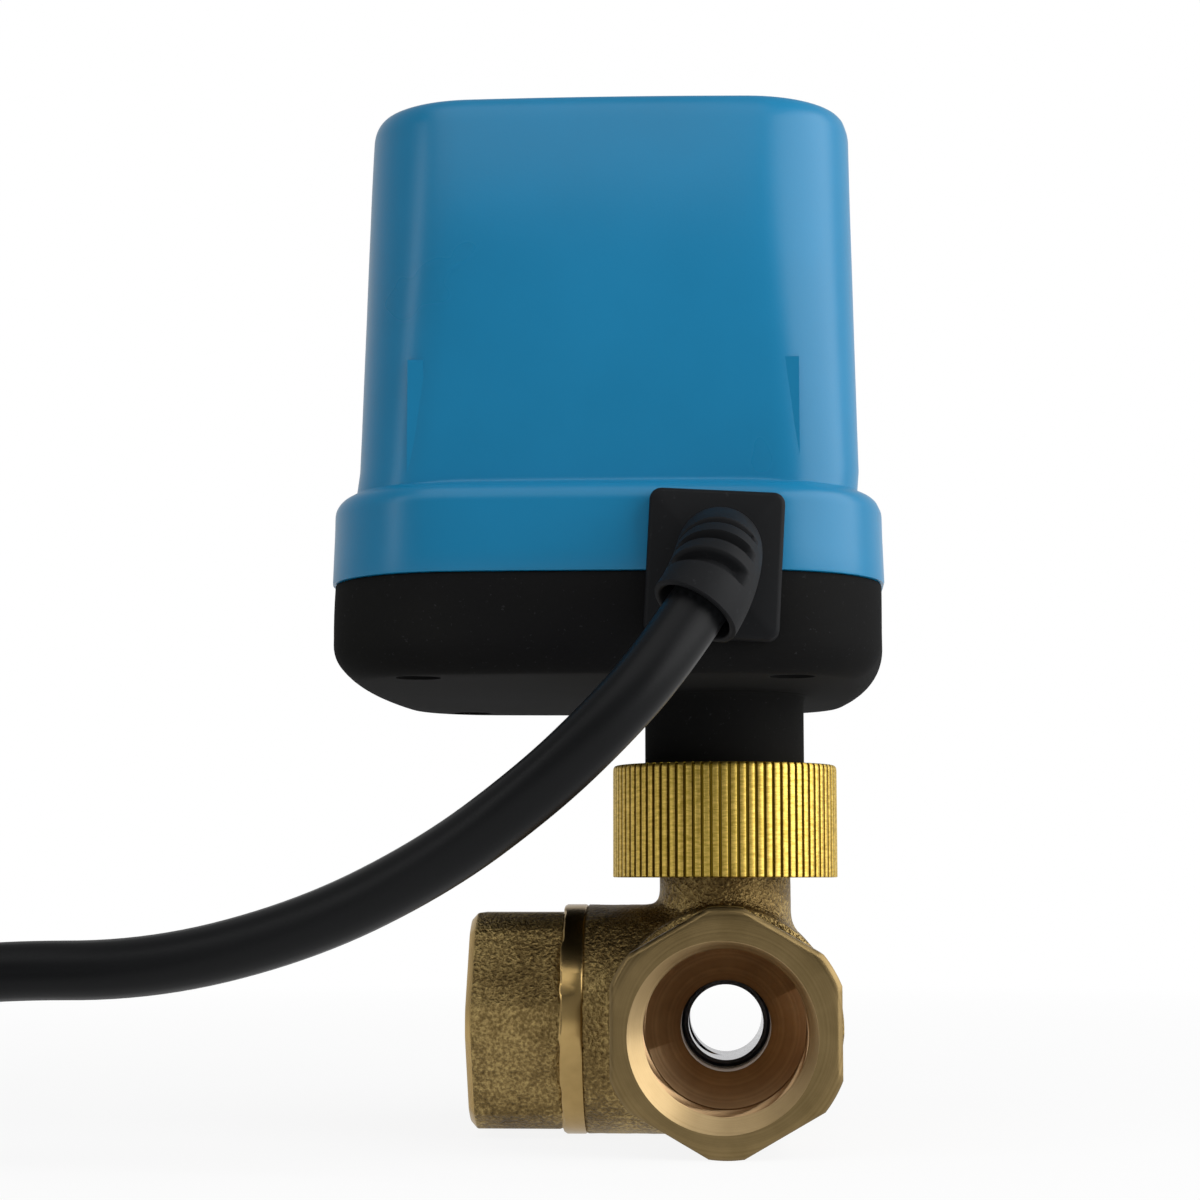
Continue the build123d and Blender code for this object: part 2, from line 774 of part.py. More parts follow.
with BuildPart() as limit_switches:
    add(side_case)
    add(front_case)
    add(plunger(side_plunger_axis, running_gap, plunger_stroke), mode=Mode.SUBTRACT)
    add(plunger(front_plunger_axis, running_gap, plunger_stroke), mode=Mode.SUBTRACT)
    for spot in switch_screws:
        add(upright(spot, switch_screw_r, switch_low, switch_high), mode=Mode.SUBTRACT)
save(limit_switches.part, "limit_switches")
save(plunger(side_plunger_axis), "side_plunger")
save(plunger(front_plunger_axis), "front_plunger")

# Shouldered screws that hang the switches from the lower plate
with BuildPart() as switch_screw_set:
    for spot in switch_screws:
        add(upright(spot, switch_head_r, switch_high, lower_plate_z))
        add(upright(spot, switch_screw_r, switch_low, switch_high))
        add(upright(spot, switch_head_r, switch_low - 1, switch_low))
save(switch_screw_set.part, "switch_screws")

# Circuit board and the parts soldered to it
board_top = board_z + board_thickness
with BuildPart() as circuit_board:
    with BuildSketch(Plane.XY.offset(board_z)):
        RectangleRounded(*board_size)
        with Locations(*pillar_spots):
            Circle(motor_ear_hole_r, mode=Mode.SUBTRACT)
    extrude(amount=board_thickness)
save(circuit_board.part, "circuit_board")

relay_low, relay_high = relay_corners
with BuildPart() as relay:
    add(block((*relay_low, board_top), (*relay_high, board_top + relay_height)))
    fillet(relay.edges().filter_by(Axis.Z), 0.8)
save(relay.part, "relay")

terminal_low, terminal_high = terminal_corners
terminal_middle_x = (terminal_low[0] + terminal_high[0]) / 2
terminal_front = terminal_low[1]
with BuildPart() as terminal_block:
    add(block((*terminal_low, board_top), (*terminal_high, board_top + terminal_height)))
    for way in range(terminal_ways):
        way_x = terminal_middle_x + terminal_pitch * (way - (terminal_ways - 1) / 2)
        wire_low = (way_x - 1.6, terminal_front, board_top + 1)
        wire_high = (way_x + 1.6, terminal_front + 4, board_top + 4)
        screw_at = (way_x, terminal_front + 6)
        add(upright(screw_at, 1.7, board_top + 4, board_top + terminal_height), mode=Mode.SUBTRACT)
        add(block(wire_low, wire_high), mode=Mode.SUBTRACT)
save(terminal_block.part, "terminal_block")

with BuildPart() as capacitors:
    for x, y, radius, height in capacitor_sizes:
        add(upright((x, y), radius, board_top, board_top + height))
save(capacitors.part, "capacitors")

# Gland: flange over the seam, plug in the slot and a ribbed boot that bends down
flange_plane = Plane(origin=(gland_x, -flange_front, gland_z), x_dir=(1, 0, 0), z_dir=(0, 1, 0)).rotated(
    (0, 0, gland_roll)
)
boot_heading = Vector(cable_route[1]) - Vector(cable_route[0])
with BuildLine():
    boot_arc = Spline(boot_start, cable_route[0], tangents=((0, -1, 0), boot_heading.normalized()))


def boot_station(share, radius):
    # Round section of the boot at a share of its length
    return Plane(origin=boot_arc @ share, x_dir=(1, 0, 0), z_dir=boot_arc % share), radius


boot_stations = [boot_station(0, boot_root_r)]
for rib in range(boot_ribs):
    start = (rib + 0.35) / (boot_ribs + 0.5)
    body_r = boot_root_r + (boot_tip_r - boot_root_r) * start
    for step, rise in ((0.0, -rib_rise), (0.045, 0.0), (0.135, 0.0), (0.18, -rib_rise)):
        boot_stations.append(boot_station(start + step, body_r + rise))
boot_stations.append(boot_station(1, boot_tip_r - 0.5))

with BuildPart() as boot:
    for station, radius in boot_stations:
        with BuildSketch(station):
            Circle(radius)
    loft(ruled=True)

gland_plug = block(
    (gland_x - slot_half, flange_thickness - flange_front, gland_z - slot_low),
    (gland_x + slot_half, -plug_back, gland_z + slot_high),
)
gland_barb = block(
    (gland_x - slot_half - groove_web, -plug_back - groove_thickness, gland_z - slot_low - groove_web),
    (gland_x + slot_half + groove_web, -plug_back, gland_z + slot_high + groove_web),
)

with BuildPart() as cable_gland:
    with BuildSketch(flange_plane):
        RectangleRounded(gland_width, gland_height, flange_corner)
    extrude(amount=flange_thickness)
    add(gland_plug)
    add(gland_barb)
    for neighbour in (base, cover, cover_seal):
        add(neighbour.part, mode=Mode.SUBTRACT)
    add(boot.part)
save(cable_gland.part, "cable_gland")


def cord_radii(route):
    # Bend radius at each inner point, as large as its two runs allow
    radii = []
    for before, corner, after in zip(route, route[1:], route[2:]):
        arriving = Vector(corner) - Vector(before)
        leaving = Vector(after) - Vector(corner)
        half_turn = radians(arriving.get_angle(leaving)) / 2
        radii.append(0.45 * min(arriving.length, leaving.length) / tan(half_turn))
    return radii


# Cable: free stretch from the boot to the coil
bend_radii = cord_radii(cable_route)
print("cable bend radii", [round(radius, 1) for radius in bend_radii])
with BuildPart() as cable:
    with BuildLine() as cable_line:
        FilletPolyline(*cable_route, radius=bend_radii)
    with BuildSketch(Plane(origin=cable_route[0], z_dir=boot_heading)):
        Circle(cable_d / 2)
    sweep()
cable_length = cable_line.wires()[0].length
print("cable volume over section times length", cable.part.volume / (pi * cable_d**2 / 4 * cable_length))
save(cable.part, "cable")


def coil_point(angle):
    # Centre of the cable after an angle wound on, counterclockwise from the north
    turns_from_middle = abs(angle - coil_middle) / (2 * pi)
    radius = coil_inner_r + coil_pitch * turns_from_middle
    drop = min(1.0, max(0.0, (angle - coil_middle) / pi + 0.5))
    height = coil_low_z + coil_pitch * (1 - drop * drop * (3 - 2 * drop))
    return Vector(coil_centre_x - radius * sin(angle), coil_centre_y + radius * cos(angle), height)


def coil_heading(angle):
    # Unit direction of the cable there, averaged where the spiral reverses
    small = 0.01
    return (coil_point(angle + small) - coil_point(angle - small)).normalized()


def add_biarc(start, start_heading, end, end_heading):
    # Two tangent arcs between two points with given headings
    gap = end - start
    both = start_heading + end_heading
    spread = 2 * (1 - start_heading.dot(end_heading))
    along = gap.dot(both)
    reach = (-along + sqrt(along * along + spread * gap.dot(gap))) / spread
    joint = (start + end + (start_heading - end_heading) * reach) * 0.5
    first = TangentArc(start, joint, tangent=start_heading)
    TangentArc(joint, end, tangent=first % 1)


# Coil: two turns winding in on the top layer and two winding out below
quarter = pi / 2
west = Vector(-1, 0, 0)
with BuildPart() as cable_coil:
    with BuildLine() as coil_line:
        entry = Line(cable_route[-1], coil_point(0))
        heading = west
        for step in range(4 * coil_turns):
            end = coil_point((step + 1) * quarter)
            end_heading = west if step == 4 * coil_turns - 1 else coil_heading((step + 1) * quarter)
            add_biarc(coil_point(step * quarter), heading, end, end_heading)
            heading = end_heading
        Line(coil_point(2 * coil_middle), coil_point(2 * coil_middle) + west * cable_d)
    with BuildSketch(Plane(origin=cable_route[-1], z_dir=west)):
        Circle(cable_d / 2)
    sweep()
save(cable_coil.part, "cable_coil")

samples = [coil_point(2 * coil_middle * step / 720) for step in range(721)]
least = min(
    (first - second).length
    for index, first in enumerate(samples)
    for second in samples[index + 90 :]
)
print("coil's least gap to itself", round(least - cable_d, 2))
print("cable length in all", round(cable_length + coil_line.wires()[0].length, 1))

# Two ties round the coil's bundle
with BuildPart() as coil_ties:
    for tie_angle in tie_angles:
        outward = Vector(-sin(radians(tie_angle)), cos(radians(tie_angle)), 0)
        along = Vector(0, 0, 1).cross(outward)
        middle = Vector(coil_centre_x, coil_centre_y, 0) - along * (tie_width / 2)
        crossings = []
        for turn in range(coil_turns):
            point = coil_point(radians(tie_angle) + 2 * pi * turn)
            crossings.append(((point - Vector(coil_centre_x, coil_centre_y, 0)).dot(outward), point.Z))
        with BuildSketch(Plane(origin=middle, x_dir=outward, z_dir=along)) as band:
            for growth, mode in ((tie_gap + tie_thickness, Mode.ADD), (tie_gap, Mode.SUBTRACT)):
                with BuildSketch(mode=Mode.PRIVATE) as wrap:
                    with Locations(*[(spot[0], -spot[1]) for spot in crossings]):
                        Circle(cable_d / 2 + growth)
                    make_hull()
                add(wrap.sketch, mode=mode)
        extrude(amount=tie_width)
save(coil_ties.part, "coil_ties")

# Three stripped cores at the cable's bare end
bare_end = coil_point(2 * coil_middle) + west * cable_d
with BuildPart() as cable_cores:
    for number in range(3):
        angle = radians(90 + 120 * number)
        side = Vector(0, cos(angle), sin(angle))
        start = bare_end + side * core_ring_r
        with BuildLine() as core_line:
            run = Line(start, start + west * core_straight)
            TangentArc(run @ 1, start + west * core_length + side * core_splay, tangent=west)
        with BuildSketch(Plane(origin=start, z_dir=west)):
            Circle(core_r)
        sweep(path=core_line.line)
save(cable_cores.part, "cable_cores")
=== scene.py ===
import json
from math import acos, atan2, copysign, cos, pi, radians, sin, sqrt

import bmesh
import bpy
import numpy as np
from mathutils import Matrix, Vector


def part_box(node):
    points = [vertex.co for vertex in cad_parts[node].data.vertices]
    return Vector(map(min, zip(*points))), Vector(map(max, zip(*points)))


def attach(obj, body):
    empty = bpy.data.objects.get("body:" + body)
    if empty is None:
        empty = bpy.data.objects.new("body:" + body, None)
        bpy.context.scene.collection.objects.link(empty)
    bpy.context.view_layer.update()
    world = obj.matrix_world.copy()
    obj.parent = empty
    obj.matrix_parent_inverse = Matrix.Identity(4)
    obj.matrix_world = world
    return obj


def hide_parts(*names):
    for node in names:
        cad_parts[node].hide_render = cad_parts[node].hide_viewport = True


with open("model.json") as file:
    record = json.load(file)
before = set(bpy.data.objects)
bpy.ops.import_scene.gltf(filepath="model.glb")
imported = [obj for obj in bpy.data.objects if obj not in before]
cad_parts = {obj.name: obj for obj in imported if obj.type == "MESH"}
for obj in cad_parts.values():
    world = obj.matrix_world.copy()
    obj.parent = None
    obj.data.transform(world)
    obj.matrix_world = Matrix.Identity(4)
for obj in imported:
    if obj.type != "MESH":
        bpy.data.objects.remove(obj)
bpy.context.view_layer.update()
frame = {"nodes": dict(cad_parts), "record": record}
scene = bpy.context.scene
scene.view_settings.view_transform = "Standard"
mm = 0.001
print("stage 1: frame loaded,", len(frame["nodes"]), "CAD nodes")


def linkObject(name, data, materials=()):
    piece = bpy.data.objects.new(name, data)
    for material in materials:
        data.materials.append(material)
    scene.collection.objects.link(piece)
    return piece


# Camera: a long lens a little above the floor that looks up at the casing's underside
cameraSettings = {
    "place": (0.0135, -0.318, 0.031),
    "lens": 76.3,
    "pitchUp": 6.28,
    "turnLeft": 2.80,
    "roll": 0.0,
}


def makeCamera(settings):
    data = bpy.data.cameras.new("camera")
    data.lens = settings["lens"]
    data.sensor_width = 36.0
    camera = linkObject("camera", data)
    camera.location = settings["place"]
    camera.rotation_euler = (
        radians(90 + settings["pitchUp"]),
        radians(settings["roll"]),
        radians(settings["turnLeft"]),
    )
    scene.camera = camera


makeCamera(cameraSettings)


def clamp(value):
    return min(1.0, max(0.0, value))


def smoothStep(value):
    share = clamp(value)
    return share * share * (3 - 2 * share)


def turnsOf(count):
    # bearings evenly round a circle
    return [2 * pi * i / count for i in range(count)]


def ringAt(reach, z, angles, middle=(0.0, 0.0)):
    # level ring of points, its reach one number or one for each bearing
    reaches = np.broadcast_to(reach, len(angles))
    return [(middle[0] + r * cos(a), middle[1] + r * sin(a), z) for r, a in zip(reaches, angles)]


def addShell(mesh, rings, loop=False, slots=None):
    # closed skin through rings of points in millimetres: a loop of rings, or a pole at each end
    grid = [[mesh.verts.new(point) for point in ring] for ring in rings]
    count = len(rings[0])
    following = grid[1:] + grid[:1] if loop else grid[1:]
    for number, (lower, upper) in enumerate(zip(grid, following)):
        for i in range(count):
            j = (i + 1) % count
            face = mesh.faces.new((lower[i], lower[j], upper[j], upper[i]))
            face.material_index = slots[number] if slots else 0
    if not loop:
        for ring in (grid[0], grid[-1]):
            pole = mesh.verts.new(sum((vertex.co for vertex in ring), Vector()) / count)
            for i in range(count):
                mesh.faces.new((ring[i], ring[(i + 1) % count], pole))


def addTube(mesh, middle, outer, inner, low, high, count):
    # closed upright tube
    profile = ((outer, low), (outer, high), (inner, high), (inner, low))
    addShell(mesh, [ringAt(radius, z, turnsOf(count), middle) for radius, z in profile], True)


def meshFrom(mesh, name):
    # plain mesh from a bmesh, its faces outwards
    bmesh.ops.recalc_face_normals(mesh, faces=mesh.faces)
    data = bpy.data.meshes.new(name)
    mesh.to_mesh(data)
    mesh.free()
    return data


def plainMesh(holder, name):
    # the mesh that an object's modifiers give, in place of the object
    graph = bpy.context.evaluated_depsgraph_get()
    data = bpy.data.meshes.new_from_object(holder.evaluated_get(graph), depsgraph=graph)
    bpy.data.objects.remove(holder)
    data.name = name
    return data


def finishPiece(mesh, name, pieceMaterials, body, nodes, sharp):
    # bmesh in millimetres to a piece in metres that rides on a body and stands for its nodes
    bmesh.ops.remove_doubles(mesh, verts=mesh.verts, dist=0.0005)
    data = meshFrom(mesh, name)
    data.transform(Matrix.Scale(mm, 4))
    return dressPiece(linkObject(name, data, pieceMaterials), body, nodes, sharp)


def dressPiece(piece, body, nodes, sharp):
    # smooth faces, with edges kept sharp from an angle in degrees
    piece.data.shade_smooth()
    piece.data.set_sharp_from_angle(angle=radians(sharp))
    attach(piece, body)
    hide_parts(*nodes)
    return piece


def srgb(code):
    # hex colour as written to the linear values that shaders take
    parts = [int(code[i:i + 2], 16) / 255 for i in (1, 3, 5)]
    return tuple(c / 12.92 if c <= 0.04045 else ((c + 0.055) / 1.055) ** 2.4 for c in parts) + (1.0,)


def addNode(tree, kind, inputs=None, stops=(), **settings):
    # one node: inputs as values or links, a ramp's stops as position and hex colour, and its settings
    node = tree.nodes.new(kind)
    for key, value in settings.items():
        setattr(node, key, value)
    for key, value in (inputs or {}).items():
        if isinstance(value, bpy.types.Node):
            value = value.outputs[0]
        if isinstance(value, bpy.types.NodeSocket):
            tree.links.new(value, node.inputs[key])
        else:
            node.inputs[key].default_value = value
    elements = node.color_ramp.elements if stops else ()
    while len(elements) < len(stops):
        elements.new(0.5)
    for element, (position, code) in zip(elements, stops):
        element.position = position
        element.color = srgb(code)
    return node


def emptyTree(owner):
    # the node tree of a material or world, without the nodes it starts with
    owner.use_nodes = True
    owner.node_tree.nodes.clear()
    return owner.node_tree


def startMaterial(name):
    # new material, its tree and its Object coordinates in millimetres
    material = bpy.data.materials.new(name)
    tree = emptyTree(material)
    place = addNode(tree, "ShaderNodeTexCoord").outputs["Object"]
    where = addNode(tree, "ShaderNodeMapping", {"Vector": place, "Scale": (1 / mm, 1 / mm, 1 / mm)})
    return material, tree, where


def finishMaterial(tree, looks, relief, depth):
    # shader with a bump, whose relief of 0 to 1 stands for a real depth in millimetres
    bump = addNode(tree, "ShaderNodeBump", {"Strength": 1.0, "Distance": depth * mm, "Height": relief})
    shader = addNode(tree, "ShaderNodeBsdfPrincipled", {**looks, "Normal": bump})
    addNode(tree, "ShaderNodeOutputMaterial", {"Surface": shader})


def finishMetal(tree, coarse, fine, share, stops, roughness, depth):
    # metal coloured by a blend of two patterns, its roughness and relief from the finer one
    mixed = addNode(tree, "ShaderNodeMix", {0: share, 2: coarse, 3: fine})
    colour = addNode(tree, "ShaderNodeValToRGB", {0: mixed}, stops)
    rough = addNode(tree, "ShaderNodeMapRange", {
        0: fine, 1: 0.3, 2: 0.7, 3: roughness[0], 4: roughness[1],
    })
    finishMaterial(tree, {"Base Color": colour, "Metallic": 1.0, "Roughness": rough}, fine, depth)


def mattedTop(tree, rough, extra):
    # a level top leaves the mould coarser and duller than the drafted walls
    place = addNode(tree, "ShaderNodeTexCoord")
    facing = addNode(tree, "ShaderNodeSeparateXYZ", {"Vector": place.outputs["Normal"]})
    level = addNode(tree, "ShaderNodeMapRange", {0: facing.outputs["Z"], 1: 0.86, 2: 0.98, 4: extra})
    return addNode(tree, "ShaderNodeMath", {0: rough, 1: level}, operation="ADD")


def mouldedPlastic(name, darker, lighter, roughness, texture, depth, dust=0.0, gloss=0.5, matting=0.0):
    # injection-moulded plastic: even colour, spark-eroded texture, faint flow variation 22 mm wide
    material, tree, where = startMaterial(name)
    flow = addNode(tree, "ShaderNodeTexNoise", {"Vector": where, "Scale": 1 / 22, "Detail": 3})
    colour = addNode(tree, "ShaderNodeValToRGB", {0: flow}, ((0.3, darker), (0.7, lighter))).outputs[0]
    grit = addNode(
        tree, "ShaderNodeTexNoise", {"Vector": where, "Scale": 1 / texture, "Detail": 3, "Roughness": 0.6}
    )
    if dust > 0:
        # light specks, a little larger than the texture
        grains = {"Vector": where, "Scale": 1 / (texture * 1.6), "Roughness": 0.7}
        motes = addNode(tree, "ShaderNodeTexNoise", grains)
        specks = addNode(tree, "ShaderNodeMapRange", {0: motes, 1: 0.66, 2: 0.74, 4: dust})
        dusty = addNode(tree, "ShaderNodeMix", {0: specks, 6: colour, 7: srgb("#8A8C90")}, data_type="RGBA")
        colour = dusty.outputs[2]
    rough = addNode(
        tree, "ShaderNodeMapRange", {0: flow, 1: 0.3, 2: 0.7, 3: roughness - 0.03, 4: roughness + 0.04}
    )
    if matting > 0:
        rough = mattedTop(tree, rough, matting)
    looks = {"Base Color": colour, "Roughness": rough, "IOR": 1.53, "Specular IOR Level": gloss}
    finishMaterial(tree, looks, grit, depth)
    return material


def axialRadius(tree, where, centre, along):
    # distance in millimetres from a port's axis, for turning marks
    across = tuple(0.0 if axis == along else 1.0 for axis in range(3))
    moved = addNode(tree, "ShaderNodeVectorMath", {0: where, 1: centre}, operation="SUBTRACT")
    flat = addNode(tree, "ShaderNodeVectorMath", {0: moved, 1: across}, operation="MULTIPLY")
    return addNode(tree, "ShaderNodeVectorMath", {0: flat}, operation="LENGTH").outputs["Value"]


def castBrass(name):
    # sand-cast brass, tumbled: brown skin stained over 9 mm, fine pits of about 0.4 mm
    material, tree, where = startMaterial(name)
    stain = addNode(
        tree, "ShaderNodeTexNoise", {"Vector": where, "Scale": 1 / 9, "Detail": 4, "Roughness": 0.6}
    )
    pits = addNode(tree, "ShaderNodeTexNoise", {"Vector": where, "Scale": 1 / 0.42, "Roughness": 0.6})
    skin = ((0.33, "#4A3B23"), (0.5, "#7F6A42"), (0.67, "#C2A96F"))
    finishMetal(tree, stain, pits, 0.55, skin, (0.36, 0.5), 0.32)
    return material


def turnedBrass(name, centre, along, dark, bright, roughness, feed):
    # brass turned in a lathe: rings at the tool's feed, a little drawn coarser so that they show
    material, tree, where = startMaterial(name)
    radius = axialRadius(tree, where, centre, along)
    passes = addNode(tree, "ShaderNodeMath", {0: radius, 1: 1 / feed}, operation="MULTIPLY")
    line = addNode(tree, "ShaderNodeCombineXYZ", {0: passes})
    rings = addNode(tree, "ShaderNodeTexNoise", {"Vector": line, "Scale": 1.0, "Detail": 3})
    stain = addNode(
        tree, "ShaderNodeTexNoise", {"Vector": where, "Scale": 1 / 6, "Detail": 4, "Roughness": 0.6}
    )
    spread = (roughness - 0.06, roughness + 0.08)
    finishMetal(tree, stain, rings, 0.5, ((0.32, dark), (0.68, bright)), spread, 0.022)
    return material


def knurledBrass(name, centre, root, crest):
    # yellow brass knurl: crests in the brass's own colour with fine cross marks, grooves painted dark olive
    # as painted shade between the ridges
    material, tree, where = startMaterial(name)
    radius = axialRadius(tree, where, centre, 2)
    # painted shade: the colour darkens from the crests down into the grooves, by distance from the axis
    outOfGrooveShade = addNode(tree, "ShaderNodeMapRange", {0: radius, 1: root + 0.04, 2: crest - 0.08})
    inside = addNode(tree, "ShaderNodeMath", {0: radius, 1: root - 0.12}, operation="LESS_THAN")
    height = addNode(tree, "ShaderNodeMath", {0: outOfGrooveShade, 1: inside}, operation="MAXIMUM")
    squeezed = addNode(tree, "ShaderNodeVectorMath", {0: where, 1: (0.8, 0.8, 3.4)}, operation="MULTIPLY")
    marks = addNode(tree, "ShaderNodeTexNoise", {"Vector": squeezed, "Scale": 1.0, "Roughness": 0.6})
    crestBrass = addNode(tree, "ShaderNodeValToRGB", {0: marks}, ((0.34, "#B99C44"), (0.66, "#E6C768")))
    # grooves take painted shade in dark olive, crests keep the brass's colour
    colour = addNode(tree, "ShaderNodeMix", {0: height, 6: srgb("#7E6A20"), 7: crestBrass}, data_type="RGBA")
    rough = addNode(tree, "ShaderNodeMapRange", {0: height, 3: 0.5, 4: 0.44})
    looks = {"Base Color": colour.outputs[2], "Metallic": 1.0, "Roughness": rough}
    finishMaterial(tree, looks, marks, 0.02)
    return material


def plainMetal(name, dark, bright, roughness, grain):
    # plated or drawn metal with a fine directionless grain
    material, tree, where = startMaterial(name)
    cloud = addNode(tree, "ShaderNodeTexNoise", {"Vector": where, "Scale": 1 / (grain * 12), "Detail": 3})
    fine = addNode(tree, "ShaderNodeTexNoise", {"Vector": where, "Scale": 1 / grain})
    spread = (roughness - 0.05, roughness + 0.05)
    finishMetal(tree, cloud, fine, 0.0, ((0.3, dark), (0.7, bright)), spread, 0.01)
    return material


# where the waterways meet, and the stem's axis in plan
stemAxisMm = (13.5, 0.0, 14.0)
stemSpot = stemAxisMm[:2]
# radii of the union nut between its ridges and on them
knurlRoot, knurlCrest = 13.52, 13.9
materials = {
    # satin ABS cover, moulded in blue
    "cover_plastic": mouldedPlastic("satinAbsBlue", "#0A709A", "#0C76A2", 0.30, 0.34, 0.008, 0.0, 0.29, 0.6),
    # glass-filled nylon tray, matte black with moulding dust
    "base_plastic": mouldedPlastic("matteNylonBlack", "#131314", "#191918", 0.9, 0.30, 0.012, 0.05, 0.05),
    "gland_rubber": mouldedPlastic("softPvcBlack", "#0E0F11", "#131416", 0.6, 0.4, 0.008, 0.03, 0.12),
    "cable_pvc": mouldedPlastic("cablePvcBlack", "#08090A", "#0C0D0F", 0.38, 0.5, 0.006, 0.0, 0.14),
    "cast_brass": castBrass("sandCastBrass"),
    "turned_brass": turnedBrass("turnedBrassFront", stemAxisMm, 1, "#6A5939", "#8A7651", 0.34, 0.24),
    "nut_brass": knurledBrass("knurledBrass", stemAxisMm, knurlRoot, knurlCrest),
    "ball_chrome": plainMetal("chromePlate", "#77777C", "#9A9AA0", 0.14, 0.3),
    "seat_ptfe": mouldedPlastic("skivedPtfe", "#DCDCD6", "#EDEDE8", 0.5, 0.4, 0.01),
    "seal_rubber": mouldedPlastic("nitrileRubber", "#0C0C0D", "#141415", 0.6, 0.3, 0.01),
    "core_pvc": mouldedPlastic("corePvc", "#6A3A1C", "#7A4522", 0.4, 0.4, 0.01),
    "tie_plastic": mouldedPlastic("nylonTieBlack", "#0E0E10", "#16161A", 0.45, 0.4, 0.01),
    "screw_steel": plainMetal("zincPlatedSteel", "#6F7174", "#8D8F92", 0.35, 0.2),
    "plate_steel": plainMetal("coldRolledSteel", "#8B8D90", "#A9ABAE", 0.38, 0.25),
    "motor_steel": plainMetal("galvanisedSteel", "#9A9C9E", "#B5B7B9", 0.4, 0.8),
    "gear_plastic": mouldedPlastic("acetalNatural", "#D8D6CC", "#E4E2D9", 0.4, 0.3, 0.008),
    "switch_plastic": mouldedPlastic("phenolicBlack", "#101013", "#18181C", 0.5, 0.3, 0.01),
    "button_plastic": mouldedPlastic("buttonRed", "#A62822", "#B8322B", 0.4, 0.3, 0.008),
    "board_laminate": mouldedPlastic("glassEpoxyGreen", "#12502A", "#1B6636", 0.35, 0.5, 0.01),
    "relay_plastic": mouldedPlastic("relayPolyesterBlue", "#1A4F9C", "#235CAE", 0.4, 0.3, 0.008),
    "terminal_plastic": mouldedPlastic("terminalPolyamideGreen", "#2A8A46", "#34994F", 0.45, 0.3, 0.01),
}
# lit copies of the turned brass, painted lighter than the front's as painted light, at the side port and on
# the neck
sideTurnedPaintedLit = turnedBrass("turnedBrassSidePaintedLit", stemAxisMm, 0, "#A08553", "#C9AC74", 0.26, 0.3)
neckTurnedPaintedLit = turnedBrass("turnedBrassNeckPaintedLit", stemAxisMm, 2, "#A08553", "#C9AC74", 0.28, 0.3)
# the mouth's chamfer, painted brighter than the face round it as a painted highlight all round the chamfer
chamferHighlightBrass = turnedBrass("chamferPaintedHighlight", stemAxisMm, 1, "#98815B", "#B29A72", 0.38, 0.2)
# inside of the bores, browner and duller, painted lighter than the face as painted light against the shade
# inside the bores
boreBrassPaintedLight = turnedBrass("boreBrassPaintedLighter", stemAxisMm, 1, "#A08260", "#D2B084", 0.4, 0.36)

for entry in frame["record"]["subparts"]:
    node = frame["nodes"][entry["node"]]
    node.data.materials.clear()
    node.data.materials.append(materials[entry["material_slot"]])
print("stage 2: materials on the CAD nodes")

# Cover: collar, rounded shoulder and an upper part whose corners grow rounder with height
coverLow, coverHigh = [[value / mm for value in corner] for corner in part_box("cover")]
coverShape = {
    "halfX": (coverHigh[0] - coverLow[0]) / 2,
    "halfY": (coverHigh[1] - coverLow[1]) / 2,
    "corner": 16.0,
    "bow": 1.0,
    "seam": coverLow[2],
    "top": coverHigh[2],
    "shoulder": coverLow[2] + 9.5,
    "shoulderEdge": 2.6,
    "topEdge": 1.5,
    "topEdgeHeight": 3.2,
    # the lower edge flares a little and hangs over the base as a skirt
    "skirt": 64.95,
    "skirtThick": 0.5,
    "flare": 0.22,
    # the upper part stands a little to one side of the collar, from a height over the shoulder
    "lean": 0.25,
    "footHeight": 2.5,
    "wall": 2.4,
    # width of the blend between shoulder and upper part
    "valley": 0.7,
    # height, half width, half depth and corner of the upper part
    "sections": (
        (72.6, 29.55, 37.40, 9.6),
        (92.0, 29.15, 36.95, 11.6),
        (108.0, 28.88, 36.00, 12.6),
        (121.2, 28.75, 33.20, 12.0),
    ),
    # half width, half depth and corner of the outline that spaces the bearings
    "bearings": (30.5, 38.0, 12.0),
    "sideSteps": 9,
    "cornerSteps": 18,
    "wallStep": 2.6,
    "bossAt": (21.2, 31.2),
    "bossRadius": 3.7,
    "screwRadius": 1.5,
    "bossTop": 90.0,
    "bossRib": 0.9,
    "ribReach": 5.0,
}
bossX, bossY = coverShape["bossAt"]
bossSpots = [(x, y) for x in (-bossX, bossX) for y in (-bossY, bossY)]
# steps round the cover's and the base's soft edges
edgeSteps = 14
edgeTurns = [pi / 2 * step / edgeSteps for step in range(edgeSteps + 1)]


def bowedQuarter(halfX, halfY, corner, bow, sideSteps, cornerSteps):
    # a quarter of a rectangle with bowed sides and a round corner, from the +X axis to the +Y axis
    bigX = ((halfX - bow) ** 2 + bow * bow) / (2 * bow)
    bigY = ((halfY - bow) ** 2 + bow * bow) / (2 * bow)
    x, y = halfX - corner, halfY - corner
    for _ in range(30):  # settles on the middle of the corner's arc
        y = halfY - bigX + sqrt((bigX - corner) ** 2 - x * x)
        x = halfX - bigY + sqrt((bigY - corner) ** 2 - y * y)
    fromSide = atan2(y, x - (halfX - bigY))
    fromFront = atan2(y - (halfY - bigX), x)
    points = []
    for step in range(sideSteps):
        turn = fromSide * step / sideSteps
        points.append((halfX - bigY + bigY * cos(turn), bigY * sin(turn)))
    for step in range(cornerSteps):
        turn = fromSide + (fromFront - fromSide) * step / cornerSteps
        points.append((x + corner * cos(turn), y + corner * sin(turn)))
    for step in range(sideSteps + 1):
        turn = fromFront + (pi / 2 - fromFront) * step / sideSteps
        points.append((bigX * cos(turn), halfY - bigX + bigX * sin(turn)))
    return np.array(points)


